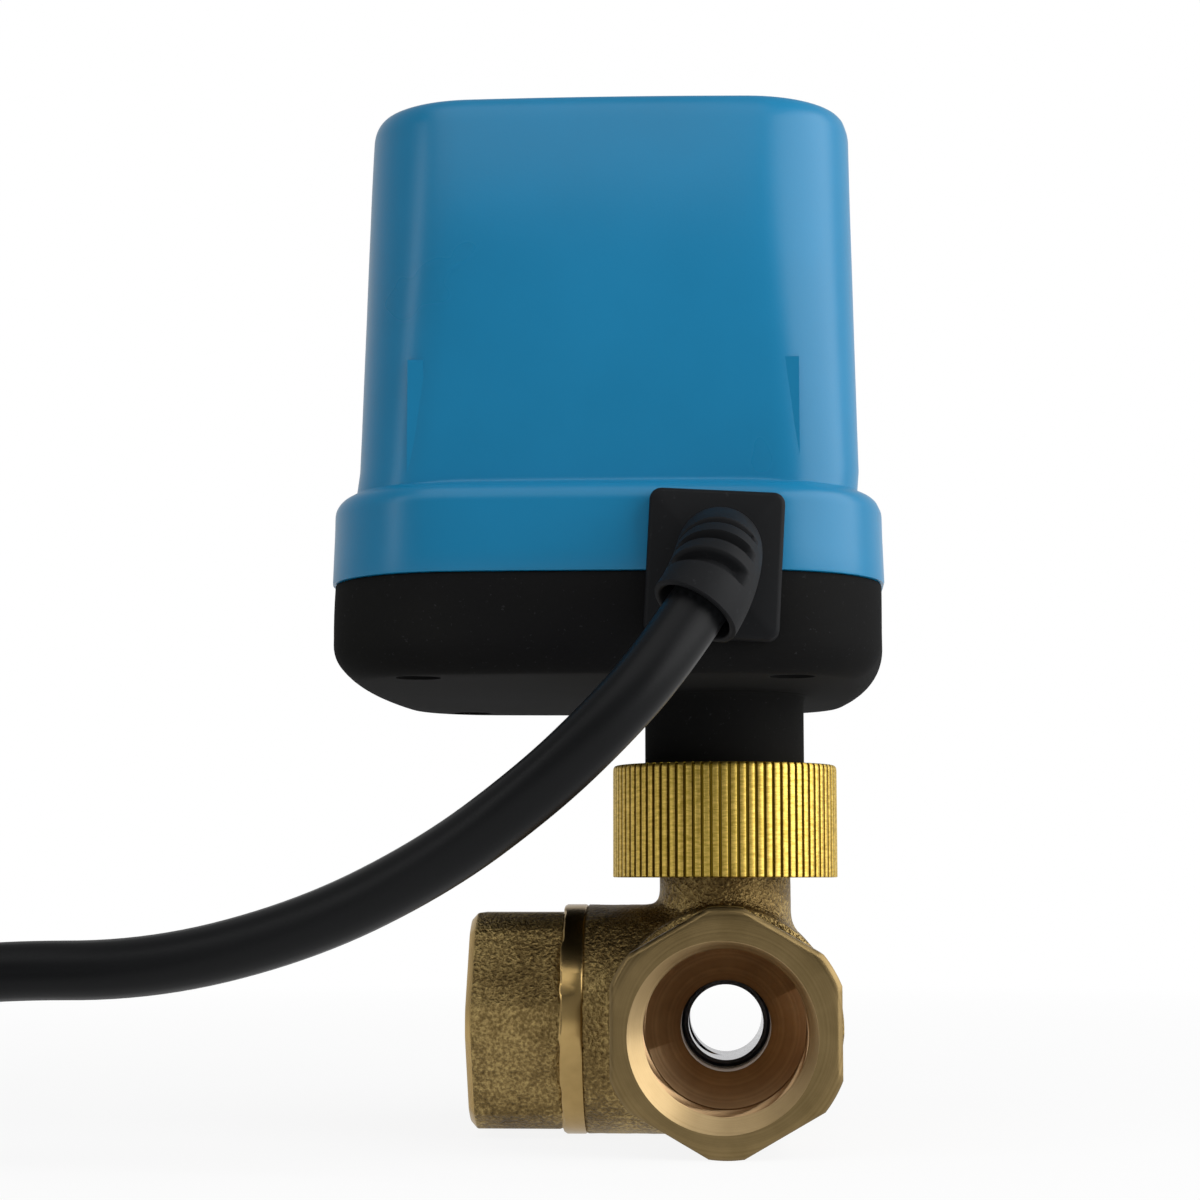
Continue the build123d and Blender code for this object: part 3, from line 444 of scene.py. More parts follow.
def bowedReach(halfX, halfY, corner, bow, angles):
    # distance from the middle to the outline along each angle
    quarter = bowedQuarter(halfX, halfY, corner, bow, 40, 60)  # finer than the bearings
    bearings = np.arctan2(quarter[:, 1], quarter[:, 0])
    folded = np.arctan2(np.abs(np.sin(angles)), np.abs(np.cos(angles)))
    return np.interp(folded, bearings, np.hypot(quarter[:, 0], quarter[:, 1]))


def outlineAngles():
    # bearings round the casing, close together at the corners
    steps = coverShape["sideSteps"], coverShape["cornerSteps"]
    quarter = bowedQuarter(*coverShape["bearings"], coverShape["bow"], *steps)
    first = np.arctan2(quarter[:, 1], quarter[:, 0])
    second = pi - first[::-1]
    return np.concatenate((first[:-1], second[:-1], first[:-1] + pi, second[:-1] + pi))


def collarReach(inset, angles):
    halfX, halfY, corner = [coverShape[key] - inset for key in ("halfX", "halfY", "corner")]
    return bowedReach(halfX, halfY, corner, coverShape["bow"], angles)


def makeCover(shape):
    heights = np.array([section[0] for section in shape["sections"]])
    curves = [np.polyfit(heights - heights[0], [s[i] for s in shape["sections"]], 3) for i in (1, 2, 3)]
    angles = outlineAngles()
    edge, valley, wall = shape["shoulderEdge"], shape["valley"], shape["wall"]
    seam, shoulder, top = shape["seam"], shape["shoulder"], shape["top"]
    skirt, thick, flare, foot = shape["skirt"], shape["skirtThick"], shape["flare"], shape["footHeight"]

    def upperReach(z, inset):
        halfX, halfY, corner = [np.polyval(curve, z - heights[0]) for curve in curves]
        return bowedReach(halfX - inset, halfY - inset, corner - inset / 2, shape["bow"], angles)

    def softLarger(first, second, width):
        overlap = np.maximum(0, width - np.abs(first - second))
        return np.maximum(first, second) + overlap * overlap / (4 * width)

    def level(reach, z):
        return ringAt(reach, z, angles, (shape["lean"] * clamp((z - shoulder) / foot), 0.0))

    skirtProfile = (
        (thick, seam), (thick, skirt), (0.2 - flare, skirt), (0.05 - flare, skirt + 0.06),
        (-flare, skirt + 0.25), (-flare * 0.6, seam + 2.0), (-flare * 0.2, seam + 4.5),
    )
    outer = [level(collarReach(inset, angles), z) for inset, z in skirtProfile]
    for turn in edgeTurns:
        z = shoulder - edge + edge * sin(turn)
        outline = softLarger(collarReach(edge * (1 - cos(turn)), angles), upperReach(z, 0), valley)
        outer.append(level(outline, z))
    for rise in (0.06, 0.15, 0.3, 0.6, 1.2):
        z = shoulder + rise
        outline = softLarger(collarReach(edge, angles) - 2.5 * rise, upperReach(z, 0), valley)
        outer.append(level(outline, z))
    wallStart, wallEnd = shoulder + foot, top - shape["topEdgeHeight"]
    wallRings = int((wallEnd - wallStart) / shape["wallStep"])
    for step in range(wallRings + 1):
        z = wallStart + (wallEnd - wallStart) * step / wallRings
        outer.append(level(upperReach(z, 0), z))
    for turn in edgeTurns[1:]:
        z = wallEnd + shape["topEdgeHeight"] * sin(turn)
        outer.append(level(upperReach(z, shape["topEdge"] * (1 - cos(turn))), z))
    lid = upperReach(top, shape["topEdge"])
    outer += [level(lid * share, top) for share in (0.97, 0.8, 0.55, 0.25)]
    roof = upperReach(top, wall + 2)
    inner = [level(roof * share, top - wall) for share in (0.3, 0.7, 1.0)]
    for z in (top - wall - 2, heights[2], heights[1], shoulder - wall):
        inner.append(level(upperReach(z, wall), z))
    inner += [level(collarReach(wall, angles), z) for z in (shoulder - wall - 0.02, seam)]
    mesh = bmesh.new()
    addShell(mesh, inner + outer)
    rib = shape["bossRib"]
    for x, y in bossSpots:
        addTube(mesh, (x, y), shape["bossRadius"], shape["screwRadius"], seam + 0.05, shape["bossTop"], 32)
        nearY = y + copysign(shape["screwRadius"] + 0.6, y)
        farY = y + copysign(shape["ribReach"], y)
        plan = ((x - rib, nearY), (x + rib, nearY), (x + rib, farY), (x - rib, farY))
        addShell(mesh, [[(*corner, z) for corner in plan] for z in (seam + 1, shape["bossTop"] - 0.5)])
    return finishPiece(
        mesh, "cover_shell", [materials["cover_plastic"]], "actuator", ["cover"], 40
    )


makeCover(coverShape)

# Base: tray under the seam with a neck that seats on the valve's square, and four screw pockets
baseShape = {
    "low": 53.8,
    "edge": 3.8,
    "edgeHeight": 4.0,
    # the outline grows rounder towards the bottom
    "lowCorner": 13.0,
    "lowBow": 2.2,
    "lowGrow": 0.5,
    "lip": 0.1,
    # inset of the groove's two sides, and its depth
    "sealGroove": (0.85, 1.85, 1.0),
    "floor": 3.25,
    "neckRadius": 9.9,
    "neckLow": 39.8,
    "neckRoot": 0.8,
    "socket": 6.2,
    "square": 12.4,
    "squareTop": 42.0,
    # heights of the groove's two sides, and its radius
    "ringGroove": (41.4, 43.1, 9.1),
    "pocketRadius": 2.6,
    "pocketTop": 58.8,
    "screwHole": 1.7,
    # heights where the cutters start and end, and where the screw bosses start
    "cutLow": 50.0,
    "pocketCut": 57.5,
    "shaftCut": 60.0,
    "bossLow": 57.0,
}


def makeBase(shape):
    angles = outlineAngles()
    low, edge, lip, seam = shape["low"], shape["edge"], shape["lip"], coverShape["seam"]
    wall, skirt, floorTop = coverShape["wall"], coverShape["skirt"] - 0.04, shape["low"] + shape["floor"]
    ledge = coverShape["skirtThick"] + 0.1
    grooveOut, grooveIn, grooveDeep = shape["sealGroove"]

    def trayReach(inset, share):
        corner = coverShape["corner"] + (shape["lowCorner"] - coverShape["corner"]) * share
        bow = coverShape["bow"] + (shape["lowBow"] - coverShape["bow"]) * share
        halfX = coverShape["halfX"] + shape["lowGrow"] * share - inset
        return bowedReach(halfX, coverShape["halfY"] - inset, corner - inset / 2, bow, angles)

    underside = trayReach(lip + edge, 1.0)
    rings = [ringAt(underside * share, low, angles) for share in (0.3, 0.6, 0.9, 1.0)]
    for turn in edgeTurns[1:]:
        outline = trayReach(lip + edge * (1 - sin(turn)), 1.0)
        rings.append(ringAt(outline, low + shape["edgeHeight"] * (1 - cos(turn)), angles))
    for share in (0.75, 0.5, 0.25):
        rings.append(ringAt(trayReach(lip, share), skirt - 0.2 - share * 6.5, angles))
    # inset and height: wall, ledge under the cover's skirt, seal groove and inside
    for inset, z in (
        (lip, skirt - 0.2), (lip + 0.06, skirt - 0.05), (lip + 0.2, skirt), (ledge, skirt), (ledge, seam),
        (grooveOut, seam), (grooveOut, seam - grooveDeep), (grooveIn, seam - grooveDeep), (grooveIn, seam),
        (wall, seam), (wall, floorTop),
    ):
        rings.append(ringAt(collarReach(inset, angles), z, angles))
    rings += [ringAt(underside * share, floorTop, angles) for share in (0.8, 0.4)]
    tray = bmesh.new()
    addShell(tray, rings)
    # cutters: screw pockets and the shaft's way through the floor
    holes = [(spot, shape["pocketRadius"], shape["pocketCut"]) for spot in bossSpots]
    holes.append((stemSpot, shape["socket"] + 1, shape["shaftCut"]))
    cutters = bmesh.new()
    for spot, radius, top in holes:
        addShell(cutters, [ringAt(radius, z, turnsOf(48), spot) for z in (shape["cutLow"], top)])
    trayObject = linkObject("tray", meshFrom(tray, "tray"))
    cutterObject = linkObject("tray_cutters", meshFrom(cutters, "tray_cutters"))
    cut = trayObject.modifiers.new("pockets", "BOOLEAN")
    cut.operation = "DIFFERENCE"
    cut.solver = "EXACT"
    cut.object = cutterObject
    mesh = bmesh.new()
    mesh.from_mesh(plainMesh(trayObject, "tray_cut"))
    bpy.data.objects.remove(cutterObject)
    for spot in bossSpots:
        for hole, start, end in (
            (shape["pocketRadius"], shape["bossLow"], shape["pocketTop"]),
            (shape["screwHole"], shape["pocketTop"], seam - 0.05),
        ):
            addTube(mesh, spot, coverShape["bossRadius"], hole, start, end, 40)
    # neck: groove for the retaining ring outside, square recess and round socket inside
    grooveLow, grooveTop, grooveRadius = shape["ringGroove"]
    radius, root, neckLow = shape["neckRadius"], shape["neckRoot"], shape["neckLow"]
    socket, squareTop = shape["socket"], shape["squareTop"]
    circle = turnsOf(96)
    fromSides = [abs((a + pi / 4) % (pi / 2) - pi / 4) for a in circle]
    square = [min(shape["square"] / 2 / cos(turn), radius - 1.4) for turn in fromSides]
    profile = (
        (radius - 0.3, neckLow), (radius, neckLow + 0.3), (radius, grooveLow), (grooveRadius, grooveLow),
        (grooveRadius, grooveTop), (radius, grooveTop), (radius, low - root),
        (radius + root * 0.3, low - root * 0.3), (radius + root, low + 0.05), (radius, low + 1.0),
        (radius, floorTop - 0.1), (socket, floorTop - 0.1), (socket, squareTop), (square, squareTop),
        (square, neckLow),
    )
    addShell(mesh, [ringAt(reach, z, circle, stemSpot) for reach, z in profile], True)
    return finishPiece(
        mesh, "base_tray", [materials["base_plastic"]], "actuator", ["base"], 35
    )


makeBase(baseShape)
print("stage 3: cover and base")

# Ports: hexagon, turned ring, mouth chamfer, pipe thread and the cone down to the waterway
portShape = {
    "half": 31.0,
    "flats": 26.0,
    "turned": 14.0,
    # radii of the insert's spigot and its seal seat, and of the casting's bore
    "spigot": 9.9,
    "sealSeat": 9.0,
    "castBore": 9.2,
    "threadRadius": 9.315,
    "threadDepth": 1.16,
    "threadPitch": 1.814,
    "threadEnd": 19.0,
    "mouth": 10.6,
    # the front mouth's chamfer is a little off centre
    "mouthShift": (0.35, -0.5),
    "waterway": 5.3,
    "seatPocket": 6.75,
    "seatBack": 10.5,
    "coneStart": 16.0,
    "threadSteps": 66,
    "flatSteps": 18,
    "cornerSteps": 8,
}


def hexagonAngles(shape):
    # bearings round a hexagon with turned corners, so that each edge has a vertex
    flatHalf = acos(shape["flats"] / 2 / shape["turned"])
    angles = []
    for side in range(6):
        middle = radians(30 + 60 * side)
        for step in range(shape["flatSteps"]):
            angles.append(middle - flatHalf + 2 * flatHalf * step / shape["flatSteps"])
        for step in range(shape["cornerSteps"]):
            share = step / shape["cornerSteps"]
            angles.append(middle + flatHalf + (pi / 3 - 2 * flatHalf) * share)
    return angles


def hexagonReach(shape, angle, inset):
    fromFlat = (angle % (pi / 3)) - pi / 6
    return min((shape["flats"] / 2 - inset) / cos(fromFlat), shape["turned"] - inset)


def threadReach(shape, along, angle):
    # groove of a helical pipe thread, faded out at both ends
    phase = (along / shape["threadPitch"] - angle / (2 * pi)) % 1.0
    groove = clamp((1 - abs(2 * phase - 1)) * 1.25 - 0.12)
    fade = min(clamp((shape["half"] - 1.25 - along) / 0.7), clamp((along - shape["threadEnd"]) / 1.5))
    return shape["threadRadius"] + shape["threadDepth"] * groove * fade


def boreProfile(shape, start):
    # rings of the bore from its mouth inwards, each as distance out and radius
    half, mouth, radius, end = [shape[key] for key in ("half", "mouth", "threadRadius", "threadEnd")]
    mouthLow = half - (mouth - radius)
    rings = [(half, mouth + 0.12), (half - 0.1, mouth), (mouthLow, radius)]
    for step in range(1, shape["threadSteps"]):
        rings.append((mouthLow + (end - mouthLow) * step / shape["threadSteps"], "thread"))
    rings += [(end, radius), (shape["coneStart"], shape["waterway"] + 0.25)]
    rings += [(shape["coneStart"] - 0.3, shape["waterway"]), (shape["seatBack"], shape["waterway"])]
    rings += [(shape["seatBack"], shape["seatPocket"]), (start, shape["seatPocket"])]
    return rings


def makePort(name, shape, frameOut, frameUp, outerRings, nodes, pieceMaterials):
    # rings from the back to the face: distance out, "hex" or radius, inset, wobble and material
    angles = hexagonAngles(shape)
    sideways = frameOut.cross(frameUp)
    centre = Vector(stemAxisMm)

    def place(out, reach, angle):
        across = frameUp * (reach * cos(angle)) + sideways * (reach * sin(angle))
        return centre + frameOut * out + across

    rings, slots = [], []
    for row in outerRings:
        out, kind, inset, wobble, number = (*row, *(0, 0, 1)[len(row) - 2:])  # what a row leaves out
        ring = []
        for angle in angles:
            reach = hexagonReach(shape, angle, inset) if kind == "hex" else kind - inset
            waves = sin(7 * angle + 1) + 0.7 * sin(17 * angle) + 0.5 * sin(31 * angle + 2)
            ring.append(place(out + wobble * waves, reach, angle))
        rings.append(ring)
        slots.append(number)
    aside, higher = shape["mouthShift"] if name == "front_end" else (0.0, 0.0)
    for number, (out, kind) in enumerate(boreProfile(shape, outerRings[0][0])):
        isMouth = number < 2
        ring = []
        for angle in angles:
            reach = threadReach(shape, out, angle) if kind == "thread" else kind
            if isMouth:
                reach += aside * sin(angle) + higher * cos(angle)
            ring.append(place(out, reach, angle))
        rings.append(ring)
        slots.append(2 if isMouth else 3)
    mesh = bmesh.new()
    addShell(mesh, rings, True, slots)
    return finishPiece(mesh, name, pieceMaterials, "valve", nodes, 28)


portFace, ringRadius, castBore = portShape["half"], portShape["turned"], portShape["castBore"]
spigotRadius, sealRadius = portShape["spigot"], portShape["sealSeat"]
# front: a turned hexagon insert, its spigot in the body
frontRings = (
    (7.4, spigotRadius, 0.3), (7.7, spigotRadius), (15.8, spigotRadius), (15.8, sealRadius),
    (17.6, sealRadius), (17.6, spigotRadius), (18.98, spigotRadius), (19.0, "hex", 0.4), (19.35, "hex"),
    (portFace - 0.55, "hex"), (portFace - 0.12, "hex", 0.35), (portFace, "hex", 0.6), (portFace, 12.3),
    (portFace, 11.9),
)
# side and rear: cast hexagons behind a turned ring
castRings = (
    (9.6, castBore), (16.6, castBore), (16.9, ringRadius, 0.35), (17.05, ringRadius, 0.08),
    (17.25, ringRadius), (19.45, ringRadius, 0, 0.05), (19.66, ringRadius, 0.12, 0.07),
    (19.75, "hex", 0.12, 0.05, 0), (20.1, "hex", 0, 0, 0), (22.0, "hex", 0, 0, 0), (26.0, "hex", 0, 0, 0),
    (portFace - 0.95, "hex", 0, 0, 0), (portFace - 0.75, "hex", 0.1), (portFace - 0.08, "hex", 0.8),
    (portFace, "hex", 0.95), (portFace, 11.4),
)
frontTurned = materials["turned_brass"]
for name, out, up, rings, node, ringBrass, slot in (
    ("front_end", (0, -1, 0), (0, 0, 1), frontRings, "end_connector", frontTurned, "turned_brass"),
    ("side_end", (-1, 0, 0), (0, 1, 0), castRings, "valve_body", sideTurnedPaintedLit, "cast_brass"),
    ("rear_end", (0, 1, 0), (0, 0, 1), castRings, "valve_body", frontTurned, "cast_brass"),
):
    portMaterials = [materials["cast_brass"], ringBrass, chamferHighlightBrass, boreBrassPaintedLight]
    makePort(name, portShape, Vector(out), Vector(up), rings, [node], portMaterials)

# Cast body: barrels and neck blended like a sand casting, bored along both waterways
castShape = {
    "Run radius": 13.7,
    "Side radius": 13.95,
    "Neck radius": 8.1,
    "Barrel blend": 1.2,
    "Neck blend": 2.6,
    "Bore radius": 9.3,
    "Stem bore": 4.6,
    "Front end": 18.98,
    "Rear end": 17.1,
    "Side end": 17.1,
    "Neck top": 34.0,
    "Swell": 0.16,
    "Swell width": 3.2,
    "Grain": 0.13,
    "Grain width": 0.95,
    "Voxel": 0.36,
}
# room that the casting needs, from the stem's axis along X and from the frame's origin along Y and Z
castRoom = ((-19.0, 17.0), (-21.0, 19.0), (-2.0, 36.0))
# the casting as a distance from its skin, negative inside: result, operation and terms
castRecipe = (
    ("xx", "MULTIPLY", "x", "x"), ("yy", "MULTIPLY", "y", "y"), ("zz", "MULTIPLY", "z", "z"),
    ("fromRun", "ADD", "xx", "zz"), ("fromRun", "SQRT", "fromRun"),
    ("fromSide", "ADD", "yy", "zz"), ("fromSide", "SQRT", "fromSide"),
    ("fromNeck", "ADD", "xx", "yy"), ("fromNeck", "SQRT", "fromNeck"),
    ("below", "MULTIPLY", "z", -1.0), ("left", "MULTIPLY", "x", -1.0), ("front", "MULTIPLY", "y", -1.0),
    # barrels and neck
    ("run", "SUBTRACT", "fromRun", "Run radius"),
    ("side", "SUBTRACT", "fromSide", "Side radius"), ("side", "MAXIMUM", "side", "x"),
    ("neck", "SUBTRACT", "fromNeck", "Neck radius"), ("neck", "MAXIMUM", "neck", "below"),
    ("solid", "SMOOTH_MIN", "run", "side", "Barrel blend"),
    ("solid", "SMOOTH_MIN", "solid", "neck", "Neck blend"),
    # uneven skin
    ("Swell noise", "SUBTRACT", "Swell noise", 0.5), ("Swell noise", "MULTIPLY", "Swell noise", "Swell"),
    ("Grain noise", "SUBTRACT", "Grain noise", 0.5), ("Grain noise", "MULTIPLY", "Grain noise", "Grain"),
    ("solid", "ADD", "solid", "Swell noise"), ("solid", "ADD", "solid", "Grain noise"),
    # square ends
    ("front", "SUBTRACT", "front", "Front end"), ("solid", "MAXIMUM", "solid", "front"),
    ("rear", "SUBTRACT", "y", "Rear end"), ("solid", "MAXIMUM", "solid", "rear"),
    ("left", "SUBTRACT", "left", "Side end"), ("solid", "MAXIMUM", "solid", "left"),
    ("above", "ADD", "z", stemAxisMm[2]), ("above", "SUBTRACT", "above", "Neck top"),
    ("solid", "MAXIMUM", "solid", "above"),
    # bores of the run, the side port and the stem
    ("bore", "SUBTRACT", "fromRun", "Bore radius"),
    ("sideBore", "SUBTRACT", "fromSide", "Bore radius"), ("sideBore", "MAXIMUM", "sideBore", "x"),
    ("stemBore", "SUBTRACT", "fromNeck", "Stem bore"), ("stemBore", "MAXIMUM", "stemBore", "below"),
    ("bore", "MINIMUM", "bore", "sideBore"), ("bore", "MINIMUM", "bore", "stemBore"),
    ("bore", "MULTIPLY", "bore", -1.0), ("solid", "MAXIMUM", "solid", "bore"),
    ("density", "MULTIPLY", "solid", -1.0),
)


def startTree(name, sockets):
    # node tree with named inputs, and the sockets that give their values
    tree = bpy.data.node_groups.new(name, "GeometryNodeTree")
    tree.is_modifier = True
    for label, kind in (("Geometry", "Geometry"), *sockets, ("Material", "Material")):
        tree.interface.new_socket(label, in_out="INPUT", socket_type="NodeSocket" + kind)
    tree.interface.new_socket("Geometry", in_out="OUTPUT", socket_type="NodeSocketGeometry")
    return tree, addNode(tree, "NodeGroupInput").outputs


def finishTree(tree, geometry, given):
    # real meshes with their material, because the export drops instances
    real = addNode(tree, "GeometryNodeRealizeInstances", {0: geometry})
    painted = addNode(tree, "GeometryNodeSetMaterial", {"Geometry": real, "Material": given["Material"]})
    addNode(tree, "NodeGroupOutput", {0: painted})


def makeCastTree(shape):
    tree, given = startTree("castBody", [(name, "Float") for name in shape])
    place = addNode(tree, "GeometryNodeInputPosition")
    moved = addNode(tree, "ShaderNodeVectorMath", {0: place, 1: stemAxisMm}, operation="SUBTRACT")
    found = dict(zip("xyz", addNode(tree, "ShaderNodeSeparateXYZ", {0: moved}).outputs))
    found.update((name, given[name]) for name in shape)
    for name in ("Swell", "Grain"):
        scale = addNode(tree, "ShaderNodeMath", {0: 1.0, 1: given[name + " width"]}, operation="DIVIDE")
        grains = {"Vector": moved, "Scale": scale, "Detail": 2.0}
        found[name + " noise"] = addNode(tree, "ShaderNodeTexNoise", grains)
    for result, operation, *terms in castRecipe:
        inputs = {number: found.get(term, term) for number, term in enumerate(terms)}
        found[result] = addNode(tree, "ShaderNodeMath", inputs, operation=operation)
    low, high = [(stemAxisMm[0] + x, y, z) for x, y, z in zip(*castRoom)]
    block = {"Density": found["density"], "Background": -1.0, "Min": low, "Max": high}
    for axis, bottom, top in zip("XYZ", low, high):
        steps = addNode(tree, "ShaderNodeMath", {0: top - bottom, 1: given["Voxel"]}, operation="DIVIDE")
        block["Resolution " + axis] = steps
    volume = addNode(tree, "GeometryNodeVolumeCube", block)
    skin = addNode(tree, "GeometryNodeVolumeToMesh", {"Volume": volume, "Threshold": 0.0})
    finishTree(tree, skin, given)
    return tree


def growPiece(name, start, tree, values):
    # runs a node tree on a starting mesh in millimetres and returns the plain mesh in metres
    holder = linkObject(name + "_holder", start)
    modifier = holder.modifiers.new("shape", "NODES")
    modifier.node_group = tree
    for item in tree.interface.items_tree:
        if item.item_type == "SOCKET" and item.in_out == "INPUT" and item.name in values:
            modifier[item.identifier] = values[item.name]
    data = plainMesh(holder, name)
    data.transform(Matrix.Scale(mm, 4))
    return linkObject(name, data)


castPiece = growPiece(
    "cast_body",
    bpy.data.meshes.new("cast_start"),
    makeCastTree(castShape),
    {**castShape, "Material": materials["cast_brass"]},
)
dressPiece(castPiece, "valve", ["valve_body"], 60)
print("stage 4: cast body and ports,", len(castPiece.data.polygons), "faces in the casting")

# Neck: threaded collar under the union nut and the square tenon above it
neckShape = {
    "low": 33.2,
    "top": 39.8,
    "radius": 11.0,
    "bore": 4.05,
    "tenon": 12.0,
    "tenonTop": 41.8,
    "pitch": 1.5,
    "depth": 0.55,
    "threadSteps": 40,
}


def makeNeck(shape):
    angles = turnsOf(96)
    bore, low, top, steps = shape["bore"], shape["low"], shape["top"], shape["threadSteps"]

    def squareReach(inset):
        # the tenon's square with its corners turned off
        side = shape["tenon"] / 2 - inset
        fromCorner = [abs((angle % (pi / 2)) - pi / 4) for angle in angles]
        return [min(side / cos(pi / 4 - turn), side * 1.36) for turn in fromCorner]

    profile = [(bore, low), (shape["radius"] - 1.2, low)]
    for step in range(steps + 1):
        z = low + 0.6 + (top - low - 1.1) * step / steps
        depth = shape["depth"] * min(1.0, step / 5, (steps - step) / 5)
        phases = [(z / shape["pitch"] - angle / (2 * pi)) % 1.0 for angle in angles]
        thread = [shape["radius"] - 0.15 - depth * (1 - abs(2 * phase - 1)) for phase in phases]
        profile.append((thread, z))
    profile += [(shape["radius"] - 0.7, top), (bore, top)]
    foot, tip = top - 0.2, shape["tenonTop"]
    square = squareReach(0)
    tenon = ((bore, foot), (square, foot), (square, tip - 0.3), (squareReach(0.3), tip), (bore, tip))
    mesh = bmesh.new()
    for outline in (profile, tenon):
        addShell(mesh, [ringAt(reach, z, angles, stemSpot) for reach, z in outline], True)
    return finishPiece(mesh, "valve_neck", [neckTurnedPaintedLit], "valve", ["valve_body"], 35)


makeNeck(neckShape)

# Union nut: a turned ring with straight knurls
nutShape = {
    "low": 31.3,
    "top": 45.1,
    "bore": 11.35,
    "root": knurlRoot,
    "crest": knurlCrest,
    "neckBore": 9.95,
    "lip": 43.2,
    "edge": 0.12,
    "topEdge": 0.6,
    "ridges": 80,
    "ridgeWidth": 0.68,
    "ridgeFoot": -0.25,
    "segments": 160,
}


def makeNutTree():
    tree, given = startTree("knurledNut", (
        ("Ridge", "Object"), ("Ridges", "Int"), ("Root radius", "Float"), ("Middle", "Vector"),
    ))
    circle = addNode(
        tree, "GeometryNodeMeshCircle", {"Vertices": given["Ridges"], "Radius": given["Root radius"]}
    )
    place = addNode(tree, "GeometryNodeInputPosition")
    facing = addNode(tree, "FunctionNodeAlignRotationToVector", {"Vector": place}, axis="X")
    ridge = addNode(tree, "GeometryNodeObjectInfo", {"Object": given["Ridge"]}).outputs["Geometry"]
    copies = addNode(
        tree, "GeometryNodeInstanceOnPoints", {"Points": circle, "Instance": ridge, "Rotation": facing}
    )
    moved = addNode(tree, "GeometryNodeTransform", {"Geometry": copies, "Translation": given["Middle"]})
    joined = addNode(tree, "GeometryNodeJoinGeometry", {0: moved})
    tree.links.new(given["Geometry"], joined.inputs[0])
    finishTree(tree, joined, given)
    return tree


def makeNut(shape):
    low, top, edge, topEdge = shape["low"], shape["top"], shape["edge"], shape["topEdge"]
    root, bore, neckBore, lip = shape["root"], shape["bore"], shape["neckBore"], shape["lip"]
    profile = (
        (bore, low + 0.3), (bore + 0.3, low), (root - edge, low), (root, low + edge), (root, top - 0.3),
        (root - 0.3, top), (neckBore + 0.3, top), (neckBore, top - 0.3), (neckBore, lip), (bore, lip),
    )
    core = bmesh.new()
    addShell(core, [ringAt(radius, z, turnsOf(shape["segments"]), stemSpot) for radius, z in profile], True)
    # one ridge, its crest along Z and its ends bevelled
    half, rise, width, foot = (top - low) / 2, shape["crest"] - root, shape["ridgeWidth"], shape["ridgeFoot"]
    outline = (
        (foot, -0.62), (rise * 0.9, -0.5), (rise, -0.38), (rise, 0.38), (rise * 0.9, 0.5), (foot, 0.62),
    )
    ends = (
        (-half + 0.02, 0.7), (-half + edge, 1.0), (half - topEdge, 1.0), (half - topEdge * 0.45, 0.85),
        (half - topEdge * 0.1, 0.45), (half - 0.01, 0.1),
    )
    ridge = bmesh.new()
    addShell(ridge, [
        [(out * share if out > 0 else out, side * width, z) for out, side in outline] for z, share in ends
    ])
    ridgeObject = bpy.data.objects.new("nut_ridge", meshFrom(ridge, "nut_ridge"))
    nut = growPiece("knurled_nut", meshFrom(core, "nut_core"), makeNutTree(), {
        "Ridge": ridgeObject, "Ridges": shape["ridges"], "Root radius": root,
        "Middle": (*stemSpot, (low + top) / 2), "Material": materials["nut_brass"],
    })
    bpy.data.objects.remove(ridgeObject)
    return dressPiece(nut, "nut", ["union_nut"], 30)


makeNut(nutShape)
print("stage 5: union nut")

# Cable: from the boot down to a tied coil that lies left of the view
cableSizes = {
    "diameter": 6.5,
    "route": (
        (10.5, -54.5, 58.8), (7.0, -57.0, 53.3), (1.6, -58.6, 47.0), (-5.6, -58.2, 40.2),
        (-16.5, -54.6, 32.4), (-31.0, -49.0, 25.6), (-48.5, -44.2, 21.3), (-66.5, -41.4, 21.2),
        (-81.5, -42.4, 19.4), (-94.0, -43.6, 14.6), (-106.0, -44.0, 11.35), (-116.5, -44.0, 11.35),
    ),
    "coilCentre": (-123.0, -84.0),
    "coilInnerRadius": 26.0,
    "coilPitch": 7.0,
    "coilTurns": 4,
    "coilLowZ": 4.35,
    "pointsPerTurn": 16,
    "length": 0.9875,
}


def coilPoint(sizes, angle, spread=1.0):
    # centre of the cable, wound on counterclockwise from the north
    middle = sizes["coilTurns"] * pi
    radius = (sizes["coilInnerRadius"] + sizes["coilPitch"] * abs(angle - middle) / (2 * pi)) * spread
    height = sizes["coilLowZ"] + sizes["coilPitch"] * (1 - smoothStep((angle - middle) / pi + 0.5))
    x, y = sizes["coilCentre"]
    return Vector((x - radius * sin(angle), y + radius * cos(angle), height))


def makeCable(sizes, material):
    points = [Vector(point) for point in sizes["route"]]
    stepAngle = 2 * pi / sizes["pointsPerTurn"]
    spread = 1 / cos(stepAngle / 2)
    points.append(coilPoint(sizes, 0))
    for step in range(1, sizes["coilTurns"] * sizes["pointsPerTurn"]):
        points.append(coilPoint(sizes, step * stepAngle, spread))
    last = coilPoint(sizes, 2 * pi * sizes["coilTurns"])
    points.append(last)
    points.append(last + Vector((-sizes["diameter"], 0, 0)))
    data = bpy.data.curves.new("cable_lead", "CURVE")
    data.dimensions = "3D"
    spline = data.splines.new("NURBS")
    spline.points.add(len(points) - 1)
    for target, point in zip(spline.points, points):
        target.co = (point.x * mm, point.y * mm, point.z * mm, 1)
    spline.order_u = 3
    spline.use_endpoint_u = True
    spline.resolution_u = 10
    data.bevel_depth = sizes["diameter"] / 2 * mm
    data.bevel_resolution = 7
    data.use_fill_caps = True
    return linkObject("cable_lead", data, [material])


